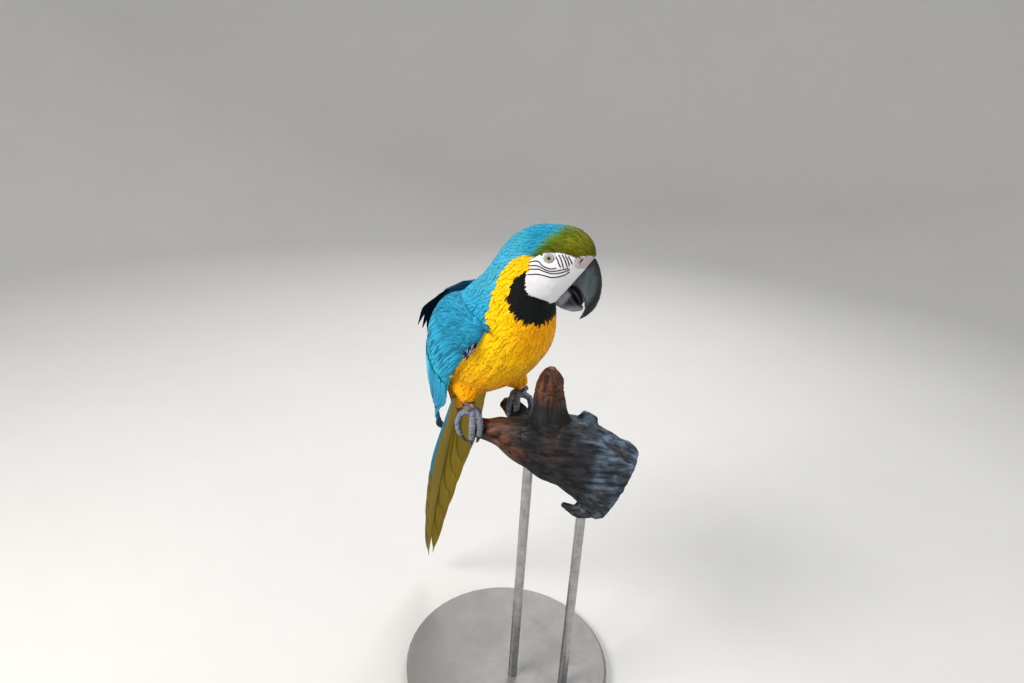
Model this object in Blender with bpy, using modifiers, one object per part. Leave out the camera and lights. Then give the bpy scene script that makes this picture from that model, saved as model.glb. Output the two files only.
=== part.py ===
"""A life-size blue-and-gold macaw gripping the end of a weathered limb, on a plain display stand.

The bird faces -Y with its left side towards +X, +Z is up, and the origin is the centre of the
stand's underside. Sizes are in metres. The bird is modelled about the point between its feet,
level with the top of the limb. Its outline is given as (reach, height): reach is how far a
point lies in front of the neck's axis.
"""

import math

import bmesh
import bpy
import numpy as np
from mathutils import Matrix, Vector, noise

GAP = 0.0003  # clearance between pieces that touch
SHARP_ANGLE = 50.0

# The stand and where the bird stands over it.
BASE_RADIUS = 0.140
BASE_THICKNESS = 0.018
BASE_BEVEL = 0.004
ROD_RADIUS = 0.006
PERCH_HEIGHT = 0.400
BIRD_AT = Vector((-0.022, 0.030, PERCH_HEIGHT))

# The body: its neck's axis, and how it leans and swings to the side.
NECK_Y = -0.038
NECK_HEIGHT = 0.156
LEAN = -0.008
HEAD_TURN = 30.0
BODY_SIDES = 26
SECTION_FULLNESS = 2.15
# Sections from the root of the tail to the base of the bill: a point of the back's outline and
# one of the belly's, half the width, how far the neck is turned there, and how much narrower
# the section is at its upper end.
BODY_SECTIONS = (
    ((-0.1060, -0.0130), (-0.0960, -0.0180), 0.0130, 0.0, 0.00),
    ((-0.1050, 0.0050), (-0.0840, -0.0060), 0.0190, 0.0, 0.00),
    ((-0.1070, 0.0260), (-0.0720, 0.0080), 0.0275, 0.0, 0.00),
    ((-0.1070, 0.0560), (-0.0460, 0.0250), 0.0440, 0.0, 0.00),
    ((-0.0990, 0.0940), (-0.0140, 0.0450), 0.0530, 0.0, 0.00),
    ((-0.0870, 0.1300), (0.0130, 0.0720), 0.0565, 0.0, 0.02),
    ((-0.0700, 0.1580), (0.0320, 0.1020), 0.0540, 0.0, 0.05),
    ((-0.0460, 0.1790), (0.0390, 0.1290), 0.0440, 6.0, 0.06),
    ((-0.0300, 0.2010), (0.0390, 0.1480), 0.0375, 14.0, 0.08),
    ((-0.0150, 0.2235), (0.0380, 0.1560), 0.0355, 22.0, 0.12),
    ((0.0080, 0.2392), (0.0385, 0.1575), 0.0345, 28.0, 0.16),
    ((0.0330, 0.2425), (0.0395, 0.1590), 0.0330, HEAD_TURN, 0.16),
    ((0.0565, 0.2408), (0.0400, 0.1600), 0.0290, HEAD_TURN, 0.10),
    ((0.0725, 0.2295), (0.0405, 0.1610), 0.0225, HEAD_TURN, 0.04),
    ((0.0780, 0.2160), (0.0410, 0.1630), 0.0165, HEAD_TURN, 0.00),
)
TRUNK_END = 6.5  # where the trunk meets the neck, counted in sections
NECK_END = 9.0  # where the neck meets the head
RINGS_PER_SECTION = 2

# The head's own frame: its origin is between the eyes.
EYE_REACH = 0.033
EYE_HEIGHT = 0.213
EYE_SIDE = 0.0252
EYE_RADIUS = 0.0072

# Bill, as (forward, up) from the point between the eyes: outer edge, inner edge, half-width.
UPPER_BILL = (
    ((0.0410, 0.0010), (0.0130, -0.0290), 0.0160),
    ((0.0475, -0.0080), (0.0175, -0.0310), 0.0160),
    ((0.0515, -0.0200), (0.0225, -0.0320), 0.0152),
    ((0.0533, -0.0325), (0.0280, -0.0340), 0.0140),
    ((0.0522, -0.0450), (0.0318, -0.0385), 0.0120),
    ((0.0480, -0.0560), (0.0350, -0.0450), 0.0096),
    ((0.0424, -0.0630), (0.0376, -0.0545), 0.0068),
    ((0.0370, -0.0676), (0.0354, -0.0625), 0.0038),
    ((0.0322, -0.0704), (0.0320, -0.0692), 0.0008),
)
LOWER_BILL = (
    ((0.0020, -0.0530), (0.0120, -0.0320), 0.0150),
    ((0.0090, -0.0580), (0.0178, -0.0345), 0.0150),
    ((0.0170, -0.0608), (0.0222, -0.0385), 0.0138),
    ((0.0240, -0.0618), (0.0264, -0.0440), 0.0118),
    ((0.0298, -0.0612), (0.0306, -0.0505), 0.0092),
    ((0.0356, -0.0588), (0.0352, -0.0560), 0.0060),
)
TONGUE = (
    ((0.0228, -0.0332), (0.0186, -0.0343), 0.0115),
    ((0.0272, -0.0346), (0.0226, -0.0378), 0.0112),
    ((0.0309, -0.0388), (0.0266, -0.0432), 0.0098),
    ((0.0339, -0.0450), (0.0304, -0.0494), 0.0078),
    ((0.0358, -0.0505), (0.0338, -0.0532), 0.0050),
)
BILL_SIDES = 14
BILL_FULLNESS = 0.75  # below 1 makes the bill's sections fuller than an ellipse
UPPER_KEEL, LOWER_KEEL = 0.35, 0.20  # how much the outer edge narrows
EYE_SEGMENTS, EYE_RINGS = 12, 7

# The tail: its root, the way it hangs and how its feathers are graded, central pair first.
TAIL_ROOT = Vector((0.0, 0.0600, 0.0010))
TAIL_WAY = Vector((0.0650, 0.1700, -0.3450)).normalized()
TAIL_LENGTHS = (0.392, 0.346, 0.292, 0.242, 0.198, 0.160)
TAIL_FEATHER_HALF_WIDTH = 0.0150
TAIL_FEATHER_THICKNESS = 0.0010
TAIL_LAYER = 0.0013
TAIL_SPACING = 0.0034
TAIL_SPREAD = 0.52
TAIL_ROOF = 0.20
TAIL_CURVE = -0.28
TAIL_START = -0.028  # where the feathers start, along the tail
TAIL_TIPS = (0.085, 0.085, 0.055, 0.055, 0.055, 0.055)  # length of each pair's tapering tip
TAIL_TIP_POWER = 0.62
TAIL_BASE_SHARE = 0.85  # width at the root as a share of the full width, reached at TAIL_BASE_LENGTH
TAIL_BASE_LENGTH = 0.07
TAIL_LEAST_HALF_WIDTH = 0.0009

# The wings wrap a saddle that follows the back and then the tail: the saddle's sections as
# for the body, and the angles from the middle of the back at which the wing starts and ends.
WING_SECTIONS = (
    ((-0.0560, 0.1630), (0.0400, 0.1160), 0.0500, 44.0, 98.0, 0.0030),
    ((-0.0800, 0.1520), (0.0330, 0.0990), 0.0570, 22.0, 110.0, 0.0095),
    ((-0.0960, 0.1310), (0.0150, 0.0740), 0.0600, 10.0, 108.0, 0.0120),
    ((-0.1060, 0.0970), (-0.0140, 0.0430), 0.0565, 8.0, 106.0, 0.0105),
    ((-0.1130, 0.0600), (-0.0420, 0.0220), 0.0490, 6.0, 108.0, 0.0080),
    ((-0.1240, 0.0210), (-0.0580, 0.0070), 0.0400, 6.0, 112.0, 0.0055),
    ((-0.1390, -0.0140), (-0.0880, -0.0190), 0.0340, 6.0, 112.0, 0.0035),
    ((-0.1540, -0.0510), (-0.1360, -0.0610), 0.0250, 6.0, 100.0, 0.0022),
    ((-0.1680, -0.0880), (-0.1580, -0.0940), 0.0140, 6.0, 86.0, 0.0014),
)
WING_STANDOFF = 0.0012
WING_EDGE = 0.0012
WING_COLUMNS = 17
WING_ROWS = 8
WING_LOBES = 5
WING_LOBE_DEPTH = 0.035
SECONDARIES_END = 0.72
PRIMARIES_START = 0.58
WING_SLANT = 0.03  # how much further the trailing edge runs than the leading one
LOBE_ROUNDNESS = 0.6
PRIMARY_TIPS = 3
PRIMARY_STEP = 0.13  # how much shorter each primary is than the one above it, as a share of the wing
PRIMARY_ROUNDING = 0.05
PRIMARIES_FROM, PRIMARIES_SPAN = 0.08, 0.80  # where they lie across the wing
PRIMARIES_THICKNESS = 0.0012
PRIMARIES_COLUMNS, PRIMARIES_ROWS = 10, 7
TAIL_SWING = 0.55
LEFT_WING_LIFT = 0.040
LEFT_WING_REACH = 25.0  # degrees by which its trailing edge crosses the back
LIFT_RUN = 1.15  # the lift rises and falls over the wing's length, ending before its tip
LIFT_PEAK = 2.4
LIFT_FALL = 1.5  # how the lift falls off towards the leading edge

# The limb, in its own axes: along it, across it away from its front, and up.
LIMB_TURN = -47.0
LIMB = (
    ((-0.027, -0.024, -0.007), 0.0100),
    ((-0.020, -0.024, -0.007), 0.0125),
    ((-0.006, -0.025, -0.008), 0.0140),
    ((0.012, -0.028, -0.010), 0.0200),
    ((0.034, -0.031, -0.014), 0.0290),
    ((0.066, -0.038, -0.018), 0.0385),
    ((0.104, -0.046, -0.025), 0.0435),
    ((0.160, -0.056, -0.061), 0.0490),
)
LIMB_BRANCHES = (
    (((0.068, -0.040, 0.000), 0.0270), ((0.063, -0.046, 0.038), 0.0195), ((0.0615, -0.048, 0.068), 0.0160),
     ((0.0608, -0.051, 0.082), 0.0105), ((0.0602, -0.052, 0.0895), 0.0050)),
    (((0.046, -0.018, -0.020), 0.0200), ((0.036, 0.004, -0.010), 0.0150), ((0.024, 0.023, -0.004), 0.0130),
     ((0.008, 0.034, -0.002), 0.0080)),
    (((0.104, -0.040, -0.004), 0.0200), ((0.1125, -0.030, 0.024), 0.0100)),
    (((0.128, -0.060, -0.078), 0.0160), ((0.106, -0.062, -0.090), 0.0090), ((0.085, -0.060, -0.081), 0.0038)),
)
LIMB_CUT_AT = Vector((0.146, -0.054, -0.058))
LIMB_CUT_WAY = Vector((0.86, -0.16, -0.42))
LIMB_GRAIN = 0.0022
LIMB_FACES = 920
LIMB_VOXEL = 0.0030
LIMB_SMOOTHING = 4
RIDGE_SIZE = 0.022
RIDGE_SQUASH = 0.7
SAW_SIZE = 0.30

# Legs and feet, in the limb's axes about each foot; the left foot is the right one's mirror.
RIGHT_FOOT_AT = Vector((-0.022, -0.024, 0.0))
LEFT_FOOT_AT = Vector((0.026, 0.024, 0.003))
TARSUS = ((0.000, 0.001, 0.0125), (-0.004, 0.000, 0.018), (-0.008, 0.000, 0.024), (-0.010, 0.004, 0.034))
TARSUS_RADII = (0.0066, 0.0052, 0.0048, 0.0050)
TOES = (
    ((0.001, 0.004, 0.011), (0.004, 0.014, 0.006), (0.0045, 0.0175, -0.004), (0.004, 0.0150, -0.013)),
    ((0.001, 0.000, 0.012), (0.006, -0.011, 0.0115), (0.0082, -0.0165, 0.002), (0.0070, -0.0165, -0.0095)),
    ((-0.001, 0.000, 0.012), (-0.001, -0.0125, 0.012), (-0.001, -0.0185, 0.0), (-0.0012, -0.0165, -0.0145)),
    ((-0.002, 0.001, 0.012), (-0.0150, 0.004, 0.008), (-0.0195, 0.002, -0.006), (-0.0150, -0.001, -0.0190)),
)
TOE_RADII = (0.0046, 0.0042, 0.0038, 0.0031)
CLAWS = (
    ((0.0038, 0.0142, -0.0145), (0.0030, 0.0105, -0.0205), (0.0015, 0.0050, -0.0240)),
    ((0.0067, -0.0162, -0.0112), (0.0056, -0.0140, -0.0175), (0.0040, -0.0095, -0.0225)),
    ((-0.0014, -0.0160, -0.0162), (-0.0022, -0.0130, -0.0232), (-0.0036, -0.0075, -0.0290)),
    ((-0.0138, -0.0014, -0.0200), (-0.0095, -0.0030, -0.0240), (-0.0035, -0.0050, -0.0250)),
)
CLAW_RADII = (0.0026, 0.0019, 0.0005)
RING_INNER, RING_OUTER, RING_HEIGHT = 0.0061, 0.0075, 0.0060
RING_SIDES = 16
RING_RISE = 0.0012  # above the middle of the leg
THIGH = (
    (-0.0240, 0.0260, 0.0640), (-0.0310, 0.0150, 0.0440),
    (-0.0362, 0.0080, 0.0325), (-0.0378, 0.0060, 0.0245),
)
THIGH_RADII = (0.0180, 0.0215, 0.0150, 0.0078)

# Rods of the stand, by where they meet the limb, and how far below the perch's top they are cut.
RODS = ((0.045, -0.034), (0.112, -0.047))
ROD_DROP = 0.020
BASE_SIDES, ROD_SIDES = 48, 16

COLOURS = {
    "blue_plumage": ((0.02, 0.30, 0.55), 0.7, 0.0),
    "gold_plumage": ((0.95, 0.55, 0.02), 0.7, 0.0),
    "green_plumage": ((0.20, 0.30, 0.03), 0.7, 0.0),
    "tail_plumage": ((0.35, 0.24, 0.03), 0.6, 0.0),
    "bill_horn": ((0.04, 0.04, 0.045), 0.35, 0.0),
    "foot_skin": ((0.16, 0.15, 0.16), 0.7, 0.0),
    "claw_horn": ((0.03, 0.03, 0.03), 0.35, 0.0),
    "eye": ((0.75, 0.72, 0.50), 0.1, 0.0),
    "leg_ring": ((0.55, 0.45, 0.42), 0.3, 1.0),
    "driftwood": ((0.09, 0.045, 0.035), 0.6, 0.0),
    "stand_board": ((0.30, 0.29, 0.27), 0.5, 0.0),
    "stand_steel": ((0.35, 0.35, 0.36), 0.35, 1.0),
}


# ---------------------------------------------------------------- helpers

def clear_scene():
    for old in list(bpy.data.objects):
        bpy.data.objects.remove(old)


def new_collection(name):
    found = bpy.data.collections.new(name)
    bpy.context.scene.collection.children.link(found)
    return found


def material(name):
    found = bpy.data.materials.get(name)
    if found:
        return found
    colour, roughness, metallic = COLOURS[name]
    found = bpy.data.materials.new(name)
    found.use_nodes = True
    shader = found.node_tree.nodes["Principled BSDF"]
    shader.inputs["Base Color"].default_value = (*colour, 1.0)
    shader.inputs["Roughness"].default_value = roughness
    shader.inputs["Metallic"].default_value = metallic
    found.diffuse_color = (*colour, 1.0)
    return found


def catmull_rom(a, b, c, d, t):
    """A point between b and c of a smooth line through all four."""
    return 0.5 * (
        2 * b + (c - a) * t + (2 * a - 5 * b + 4 * c - d) * t**2 + (3 * b - a - 3 * c + d) * t**3
    )


def smooth_rows(rows, count):
    """A smooth line through the rows of a table, sampled at count even steps."""
    table = np.array(rows, float)
    table = np.vstack([2 * table[0] - table[1], table, 2 * table[-1] - table[-2]])
    places = np.linspace(0, len(rows) - 1, count)
    start = np.minimum(places.astype(int), len(rows) - 2)
    return catmull_rom(*(table[start + k] for k in range(4)), (places - start)[:, None])


def flat_rows(sections):
    """Each section as one row of numbers."""
    return [(*s[0], *s[1], *s[2:]) for s in sections]


def move_to(collection, made):
    """Takes an object that an operator has just made out of its collections and into this one."""
    for owner in list(made.users_collection):
        owner.objects.unlink(made)
    collection.objects.link(made)
    return made


def add_object(name, data, parent, material_name):
    made = bpy.data.objects.new(name, data)
    PARTS.objects.link(made)
    made.parent = parent
    made.data.materials.clear()
    made.data.materials.append(material(material_name))
    return made


def mesh_from(name, points, faces):
    data = bpy.data.meshes.new(name)
    data.from_pydata([tuple(p) for p in points], [], faces)
    work = bmesh.new()
    work.from_mesh(data)
    bmesh.ops.recalc_face_normals(work, faces=work.faces)
    work.to_mesh(data)
    work.free()
    data.shade_smooth()
    return data


def loft(name, rings, parent, material_name):
    """A closed body through rings of equal point counts, with flat ends."""
    sides = len(rings[0])
    faces = [
        (k * sides + i, k * sides + (i + 1) % sides, (k + 1) * sides + (i + 1) % sides, (k + 1) * sides + i)
        for k in range(len(rings) - 1)
        for i in range(sides)
    ]
    last = (len(rings) - 1) * sides
    faces.append(tuple(reversed(range(sides))))
    faces.append(tuple(range(last, last + sides)))
    return add_object(name, mesh_from(name, np.concatenate(rings), faces), parent, material_name)


def shell(name, columns, rows, outer, inner, parent, material_name):
    """A closed body between two surfaces over a grid: outer and inner take (across, along), both 0 to 1."""
    grid = [(i / (columns - 1), j / (rows - 1)) for j in range(rows) for i in range(columns)]
    points = [outer(*g) for g in grid] + [inner(*g) for g in grid]
    under = columns * rows
    cells = [(j * columns + i) for j in range(rows - 1) for i in range(columns - 1)]
    faces = [(c, c + 1, c + columns + 1, c + columns) for c in cells]
    faces += [tuple(under + k for k in reversed(f)) for f in faces]
    rim = list(range(columns))
    rim += [j * columns + columns - 1 for j in range(1, rows)]
    rim += [(rows - 1) * columns + i for i in range(columns - 2, -1, -1)]
    rim += [j * columns for j in range(rows - 2, 0, -1)]
    faces += [(a, under + a, under + b, b) for a, b in zip(rim, rim[1:] + rim[:1])]
    return add_object(name, mesh_from(name, points, faces), parent, material_name)


def as_mesh(made):
    """The object with its modifiers and curves made into one welded mesh."""
    bpy.context.view_layer.update()
    graph = bpy.context.evaluated_depsgraph_get()
    data = bpy.data.meshes.new_from_object(made.evaluated_get(graph))
    work = bmesh.new()
    work.from_mesh(data)
    bmesh.ops.remove_doubles(work, verts=work.verts, dist=1e-6)
    bmesh.ops.recalc_face_normals(work, faces=work.faces)
    if work.calc_volume(signed=True) < 0:
        bmesh.ops.reverse_faces(work, faces=work.faces)
    work.to_mesh(data)
    work.free()
    data.shade_smooth()
    data.set_sharp_from_angle(angle=math.radians(SHARP_ANGLE))
    solid = bpy.data.objects.new(made.name, data)
    for owner in made.users_collection:
        owner.objects.link(solid)
    solid.parent = made.parent
    solid.matrix_parent_inverse = made.matrix_parent_inverse
    solid.matrix_basis = made.matrix_basis
    name = made.name
    bpy.data.objects.remove(made)
    solid.name = name
    bpy.context.view_layer.update()
    return solid


def tapered_tube(name, points, radii, parent, material_name, roundness=2):
    """A round limb of changing radius along a line of points."""
    curve = bpy.data.curves.new(name, "CURVE")
    curve.dimensions = "3D"
    curve.bevel_depth = 1.0
    curve.bevel_resolution = roundness
    curve.use_fill_caps = True
    line = curve.splines.new("POLY")
    line.points.add(len(points) - 1)
    for place, co, radius in zip(line.points, points, radii):
        place.co = (*co, 1.0)
        place.radius = radius
    return as_mesh(add_object(name, curve, parent, material_name))


def smooth_tube(name, points, radii, count, parent, material_name, roundness=2):
    """A tapered tube along a smooth line through the points."""
    rows = smooth_rows([(*point, radius) for point, radius in zip(points, radii)], count)
    return tapered_tube(name, rows[:, :3], rows[:, 3], parent, material_name, roundness)


def cutter_from(piece, swell):
    """A hidden copy of a piece, swollen by the clearance that its neighbour keeps."""
    made = bpy.data.objects.new(piece.name + "_cutter", piece.data.copy())
    CUTTERS.objects.link(made)
    made.parent = piece.parent
    made.matrix_parent_inverse = piece.matrix_parent_inverse
    made.matrix_basis = piece.matrix_basis
    made.hide_render = True
    made.display_type = "WIRE"
    if swell:
        puff = made.modifiers.new("Clearance", "DISPLACE")
        puff.strength = swell
        puff.mid_level = 0.0
    return made


def combine(piece, other, operation):
    change = piece.modifiers.new(operation.title(), "BOOLEAN")
    change.operation = operation
    change.object = other
    change.solver = "EXACT"
    return piece


def drop_offcuts(data):
    """Keeps the largest of the bodies in a mesh."""
    work = bmesh.new()
    work.from_mesh(data)
    loose = set(work.verts)
    bodies = []
    while loose:
        body, front = set(), [loose.pop()]
        while front:
            vert = front.pop()
            body.add(vert)
            near = {edge.other_vert(vert) for edge in vert.link_edges} & loose
            loose -= near
            front.extend(near)
        bodies.append(body)
    kept = max(bodies, key=len)
    bmesh.ops.delete(work, geom=[v for body in bodies if body is not kept for v in body], context="VERTS")
    work.to_mesh(data)
    work.free()


def trim(piece, *neighbours):
    """Cuts away what of the piece lies in its neighbours, and the clearance round them."""
    cutters = [cutter_from(other, GAP) for other in neighbours]
    for cutter in cutters:
        combine(piece, cutter, "DIFFERENCE")
    piece = as_mesh(piece)
    for cutter in cutters:
        bpy.data.objects.remove(cutter)
    drop_offcuts(piece.data)
    return piece


def union(name, pieces):
    """Joins overlapping pieces into one body under one name."""
    first = pieces[0]
    for other in pieces[1:]:
        combine(first, other, "UNION")
    joined = as_mesh(first)
    for other in pieces[1:]:
        bpy.data.objects.remove(other)
    joined.name = name
    return joined


# ---------------------------------------------------------------- body

def body_place(reach, height, side, turn):
    """A point given by reach, height and side, in the bird's own axes."""
    angle = math.radians(turn)
    y = NECK_Y - reach * math.cos(angle) + side * math.sin(angle)
    sway = LEAN * min(max(height / NECK_HEIGHT, 0.0), 1.0) + TAIL_SWING * max(0.0, y - TAIL_ROOT.y)
    return Vector((sway + reach * math.sin(angle) + side * math.cos(angle), y, height))


def power(value, exponent):
    return math.copysign(abs(value) ** exponent, value)


def body_ring(row):
    """The ellipse of one section, a little fuller than round."""
    back, belly, half_width, turn, narrowing = row[0:2], row[2:4], row[4], row[5], row[6]
    middle, half = (back + belly) / 2, (back - belly) / 2
    ring = []
    for k in range(BODY_SIDES):
        angle = 2 * math.pi * k / BODY_SIDES
        along = power(math.cos(angle), 2 / SECTION_FULLNESS)
        side = power(math.sin(angle), 2 / SECTION_FULLNESS) * half_width * (1 - narrowing * along)
        reach, height = middle + half * along
        ring.append(body_place(reach, height, side, turn))
    return ring


def make_body(bird):
    rows = smooth_rows(flat_rows(BODY_SECTIONS), RINGS_PER_SECTION * (len(BODY_SECTIONS) - 1) + 1)
    rings = [np.array(body_ring(row)) for row in rows]
    trunk_last = round(TRUNK_END * RINGS_PER_SECTION)
    neck_last = round(NECK_END * RINGS_PER_SECTION)

    def from_ring(first, last):
        """The rings from one to another, with the first drawn on by the gap."""
        chosen = [ring.copy() for ring in rings[first : last + 1]]
        if first:
            ahead = rings[first + 1].mean(axis=0) - rings[first].mean(axis=0)
            chosen[0] += ahead / np.linalg.norm(ahead) * GAP
        return chosen

    trunk = loft("trunk", from_ring(0, trunk_last), bird, "gold_plumage")
    neck = loft("neck", from_ring(trunk_last, neck_last), bird, "gold_plumage")
    head = loft("head", from_ring(neck_last, len(rings) - 1), bird, "green_plumage")
    return trunk, neck, head


# ---------------------------------------------------------------- head

def head_point(forward, up, side):
    """A point in the head's own frame, in the bird's axes."""
    return body_place(EYE_REACH + forward, EYE_HEIGHT + up, side, HEAD_TURN)


def bill_ring(row, keel):
    """A section of the bill: rounded along its outer edge and flatter along its inner one."""
    outer, inner, half_width = row[0:2], row[2:4], row[4]
    ring = []
    for k in range(BILL_SIDES):
        angle = 2 * math.pi * k / BILL_SIDES
        depth = (1 - math.cos(angle)) / 2
        spread = power(math.sin(angle), BILL_FULLNESS) * (1 - keel * (1 - depth))
        forward, up = outer + (inner - outer) * depth
        ring.append(head_point(forward, up, half_width * spread))
    return np.array(ring)


def make_bill(bird, head):
    upper_rings = [bill_ring(row, UPPER_KEEL) for row in smooth_rows(flat_rows(UPPER_BILL), 13)]
    lower_rings = [bill_ring(row, LOWER_KEEL) for row in smooth_rows(flat_rows(LOWER_BILL), 8)]
    upper = trim(loft("bill_upper", upper_rings, bird, "bill_horn"), head)
    lower = trim(loft("bill_lower", lower_rings, bird, "bill_horn"), head, upper)
    tongue_rings = [bill_ring(row, 0.0) for row in smooth_rows(flat_rows(TONGUE), 5)]
    trim(loft("tongue", tongue_rings, bird, "bill_horn"), head, upper, lower)


def make_eyes(bird, head):
    """Eyeballs let into the head, one each side."""
    for name, side in (("eye_left", 1), ("eye_right", -1)):
        centre = head_point(0.0, 0.0, side * EYE_SIDE)
        bpy.ops.mesh.primitive_uv_sphere_add(segments=EYE_SEGMENTS, ring_count=EYE_RINGS, radius=EYE_RADIUS)
        ball = move_to(PARTS, bpy.context.object)
        ball.name = name
        ball.parent = bird
        ball.location = centre
        ball.data.materials.append(material("eye"))
        ball.data.shade_smooth()
        bpy.context.view_layer.update()
        head = trim(head, ball)


# ---------------------------------------------------------------- wings

def wing_row(along):
    """The saddle's section at a share of the wing's length."""
    table = np.array(flat_rows(WING_SECTIONS))
    place = along * (len(table) - 1)
    start = min(int(place), len(table) - 2)
    ends = (max(start - 1, 0), start, start + 1, min(start + 2, len(table) - 1))
    return catmull_rom(*(table[k] for k in ends), place - start)


def wing_point(side, across, along, offset, lift):
    """A point over the saddle: across runs from the trailing edge on the back to the leading edge."""
    row = wing_row(along)
    back, belly, half_width = row[0:2], row[2:4], row[4]
    arch = math.sin(math.pi * min(along * LIFT_RUN, 1.0)) ** LIFT_PEAK
    start = row[5] - (LEFT_WING_REACH * arch if lift else 0.0)
    angle = math.radians(start + (row[6] - start) * across)
    middle, half = (back + belly) / 2, (back - belly) / 2
    depth = float(np.linalg.norm(half))
    raised = offset + lift * (1 - across) ** LIFT_FALL * arch
    normal_back, normal_side = math.cos(angle) / depth, math.sin(angle) / half_width
    scale = raised / math.hypot(normal_back, normal_side)
    reach, height = middle + half * math.cos(angle) + half / depth * normal_back * scale
    out = half_width * math.sin(angle) + normal_side * scale
    return body_place(reach, height, side * out, 0.0)


def lobed_end(across, lobes):
    """How far each column runs: rounded feather tips side by side."""
    return abs(math.sin(math.pi * lobes * across)) ** LOBE_ROUNDNESS


def make_wing(bird, neighbours, feathers, name, side, lift):
    """A folded wing over the body's side, and its primaries below it."""
    def reach_of(across):
        return SECONDARIES_END - WING_LOBE_DEPTH * (1 - lobed_end(across, WING_LOBES)) - WING_SLANT * across

    def thickness(across, along):
        middle = math.sin(math.pi * min(max(across, 0.0), 1.0)) ** LOBE_ROUNDNESS
        return WING_EDGE + (wing_row(along)[7] - WING_EDGE / 2) * middle

    def outer(across, along):
        v = along * reach_of(across)
        return wing_point(side, across, v, WING_STANDOFF + thickness(across, v), lift)

    def inner(across, along):
        return wing_point(side, across, along * reach_of(across), WING_STANDOFF, lift)

    wing = shell(name, WING_COLUMNS, WING_ROWS, outer, inner, bird, "blue_plumage")
    wing = trim(wing, *neighbours)

    def tip_of(across):
        step = math.floor(across * PRIMARY_TIPS) / PRIMARY_TIPS
        within = across * PRIMARY_TIPS - math.floor(across * PRIMARY_TIPS)
        return 1.0 - PRIMARY_STEP * step - PRIMARY_ROUNDING * (2 * within - 1) ** 2

    def quill(across, along, offset):
        v = PRIMARIES_START + along * (tip_of(min(across, 0.999)) - PRIMARIES_START)
        return wing_point(side, PRIMARIES_FROM + PRIMARIES_SPAN * across, v, offset, lift)

    high = WING_STANDOFF - 2 * GAP
    low = high - PRIMARIES_THICKNESS
    primaries = shell(
        name + "_primaries", PRIMARIES_COLUMNS, PRIMARIES_ROWS,
        lambda across, along: quill(across, along, high),
        lambda across, along: quill(across, along, low),
        bird, "blue_plumage",
    )
    trim(primaries, *neighbours, wing, *feathers)


# ---------------------------------------------------------------- tail

def tail_frame():
    """The tail's axes: across it, along it and out of its upper side."""
    along = TAIL_WAY
    across = Vector((1.0, 0.0, 0.0))
    across = (across - along * across.dot(along)).normalized()
    return across, along, across.cross(along).normalized()


def tail_feather(bird, side, rank):
    """One long feather of the tail; rank 0 is the central one, and each lies under the one inside it."""
    across, along, up = tail_frame()
    if up.y < 0:
        up = -up
    length = TAIL_LENGTHS[rank]

    def centre_line(v):
        return (rank + 0.5) * (TAIL_SPACING + v * math.tan(math.radians(TAIL_SPREAD)))

    def edge(v, share):
        taper = min(1.0, max(length - v, 0.0) / TAIL_TIPS[rank]) ** TAIL_TIP_POWER
        grow = TAIL_BASE_SHARE + (1 - TAIL_BASE_SHARE) * min(1.0, v / TAIL_BASE_LENGTH)
        half = max(TAIL_FEATHER_HALF_WIDTH * taper * grow, TAIL_LEAST_HALF_WIDTH)
        inner_half = min(half, centre_line(v) - GAP)
        return centre_line(v) + share * (half if share > 0 else inner_half)

    def point(share, v, lower):
        x = edge(v, share)
        sag = TAIL_CURVE * v**2 - TAIL_ROOF * x - rank * TAIL_LAYER
        sag -= TAIL_FEATHER_THICKNESS if lower else 0.0
        return TAIL_ROOT + across * (side * x) + along * v + up * sag

    def surface(lower):
        return lambda a, b: point(2 * a - 1, TAIL_START + b * (length - TAIL_START), lower)

    name = f"tail_feather_{'left' if side > 0 else 'right'}_{rank + 1}"
    return shell(name, 3, 9, surface(False), surface(True), bird, "tail_plumage")


# ---------------------------------------------------------------- limb and stand

def limb_place(point, origin=(0.0, 0.0, 0.0)):
    """A point in the limb's axes, in the bird's axes."""
    return Matrix.Rotation(math.radians(LIMB_TURN), 3, "Z") @ (Vector(point) + Vector(origin))


def make_limb(bird):
    """The limb: its main stem and stubs blended into one, ridged, thinned and sawn off square."""
    tubes = []
    for k, line in enumerate([LIMB, *LIMB_BRANCHES]):
        points = [limb_place(point) for point, _ in line]
        radii = [radius for _, radius in line]
        tubes.append(smooth_tube(f"limb_{k}", points, radii, 4 * len(line) - 3, bird, "driftwood", 4))
    limb = union("limb", tubes)
    blend = limb.modifiers.new("Blend", "REMESH")
    blend.voxel_size = LIMB_VOXEL
    blend.use_smooth_shade = True
    soften = limb.modifiers.new("Soften", "SMOOTH")
    soften.iterations = LIMB_SMOOTHING
    limb = as_mesh(limb)
    normals = [vertex.normal.copy() for vertex in limb.data.vertices]
    for vertex, normal in zip(limb.data.vertices, normals):
        place = Vector((vertex.co.x, vertex.co.y, vertex.co.z * RIDGE_SQUASH)) / RIDGE_SIZE
        ridge = noise.noise(place) + 0.5 * noise.noise(place * 2.3)
        vertex.co += normal * (LIMB_GRAIN * ridge)
    thin = limb.modifiers.new("Thin", "DECIMATE")
    thin.ratio = min(1.0, LIMB_FACES / (2 * len(limb.data.polygons)))
    limb = as_mesh(limb)
    return saw_off(limb, bird)


def saw_off(limb, bird):
    """Cuts the limb's thick end flat."""
    bpy.ops.mesh.primitive_cube_add(size=SAW_SIZE)
    saw = move_to(CUTTERS, bpy.context.object)
    saw.name = "limb_saw"
    saw.hide_render = True
    saw.display_type = "WIRE"
    saw.parent = bird
    way = limb_place(LIMB_CUT_WAY).normalized()
    saw.rotation_euler = way.to_track_quat("Z", "Y").to_euler()
    saw.location = limb_place(LIMB_CUT_AT) + way * SAW_SIZE / 2
    combine(limb, saw, "DIFFERENCE")
    limb = as_mesh(limb)
    bpy.data.objects.remove(saw)
    return limb


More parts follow.
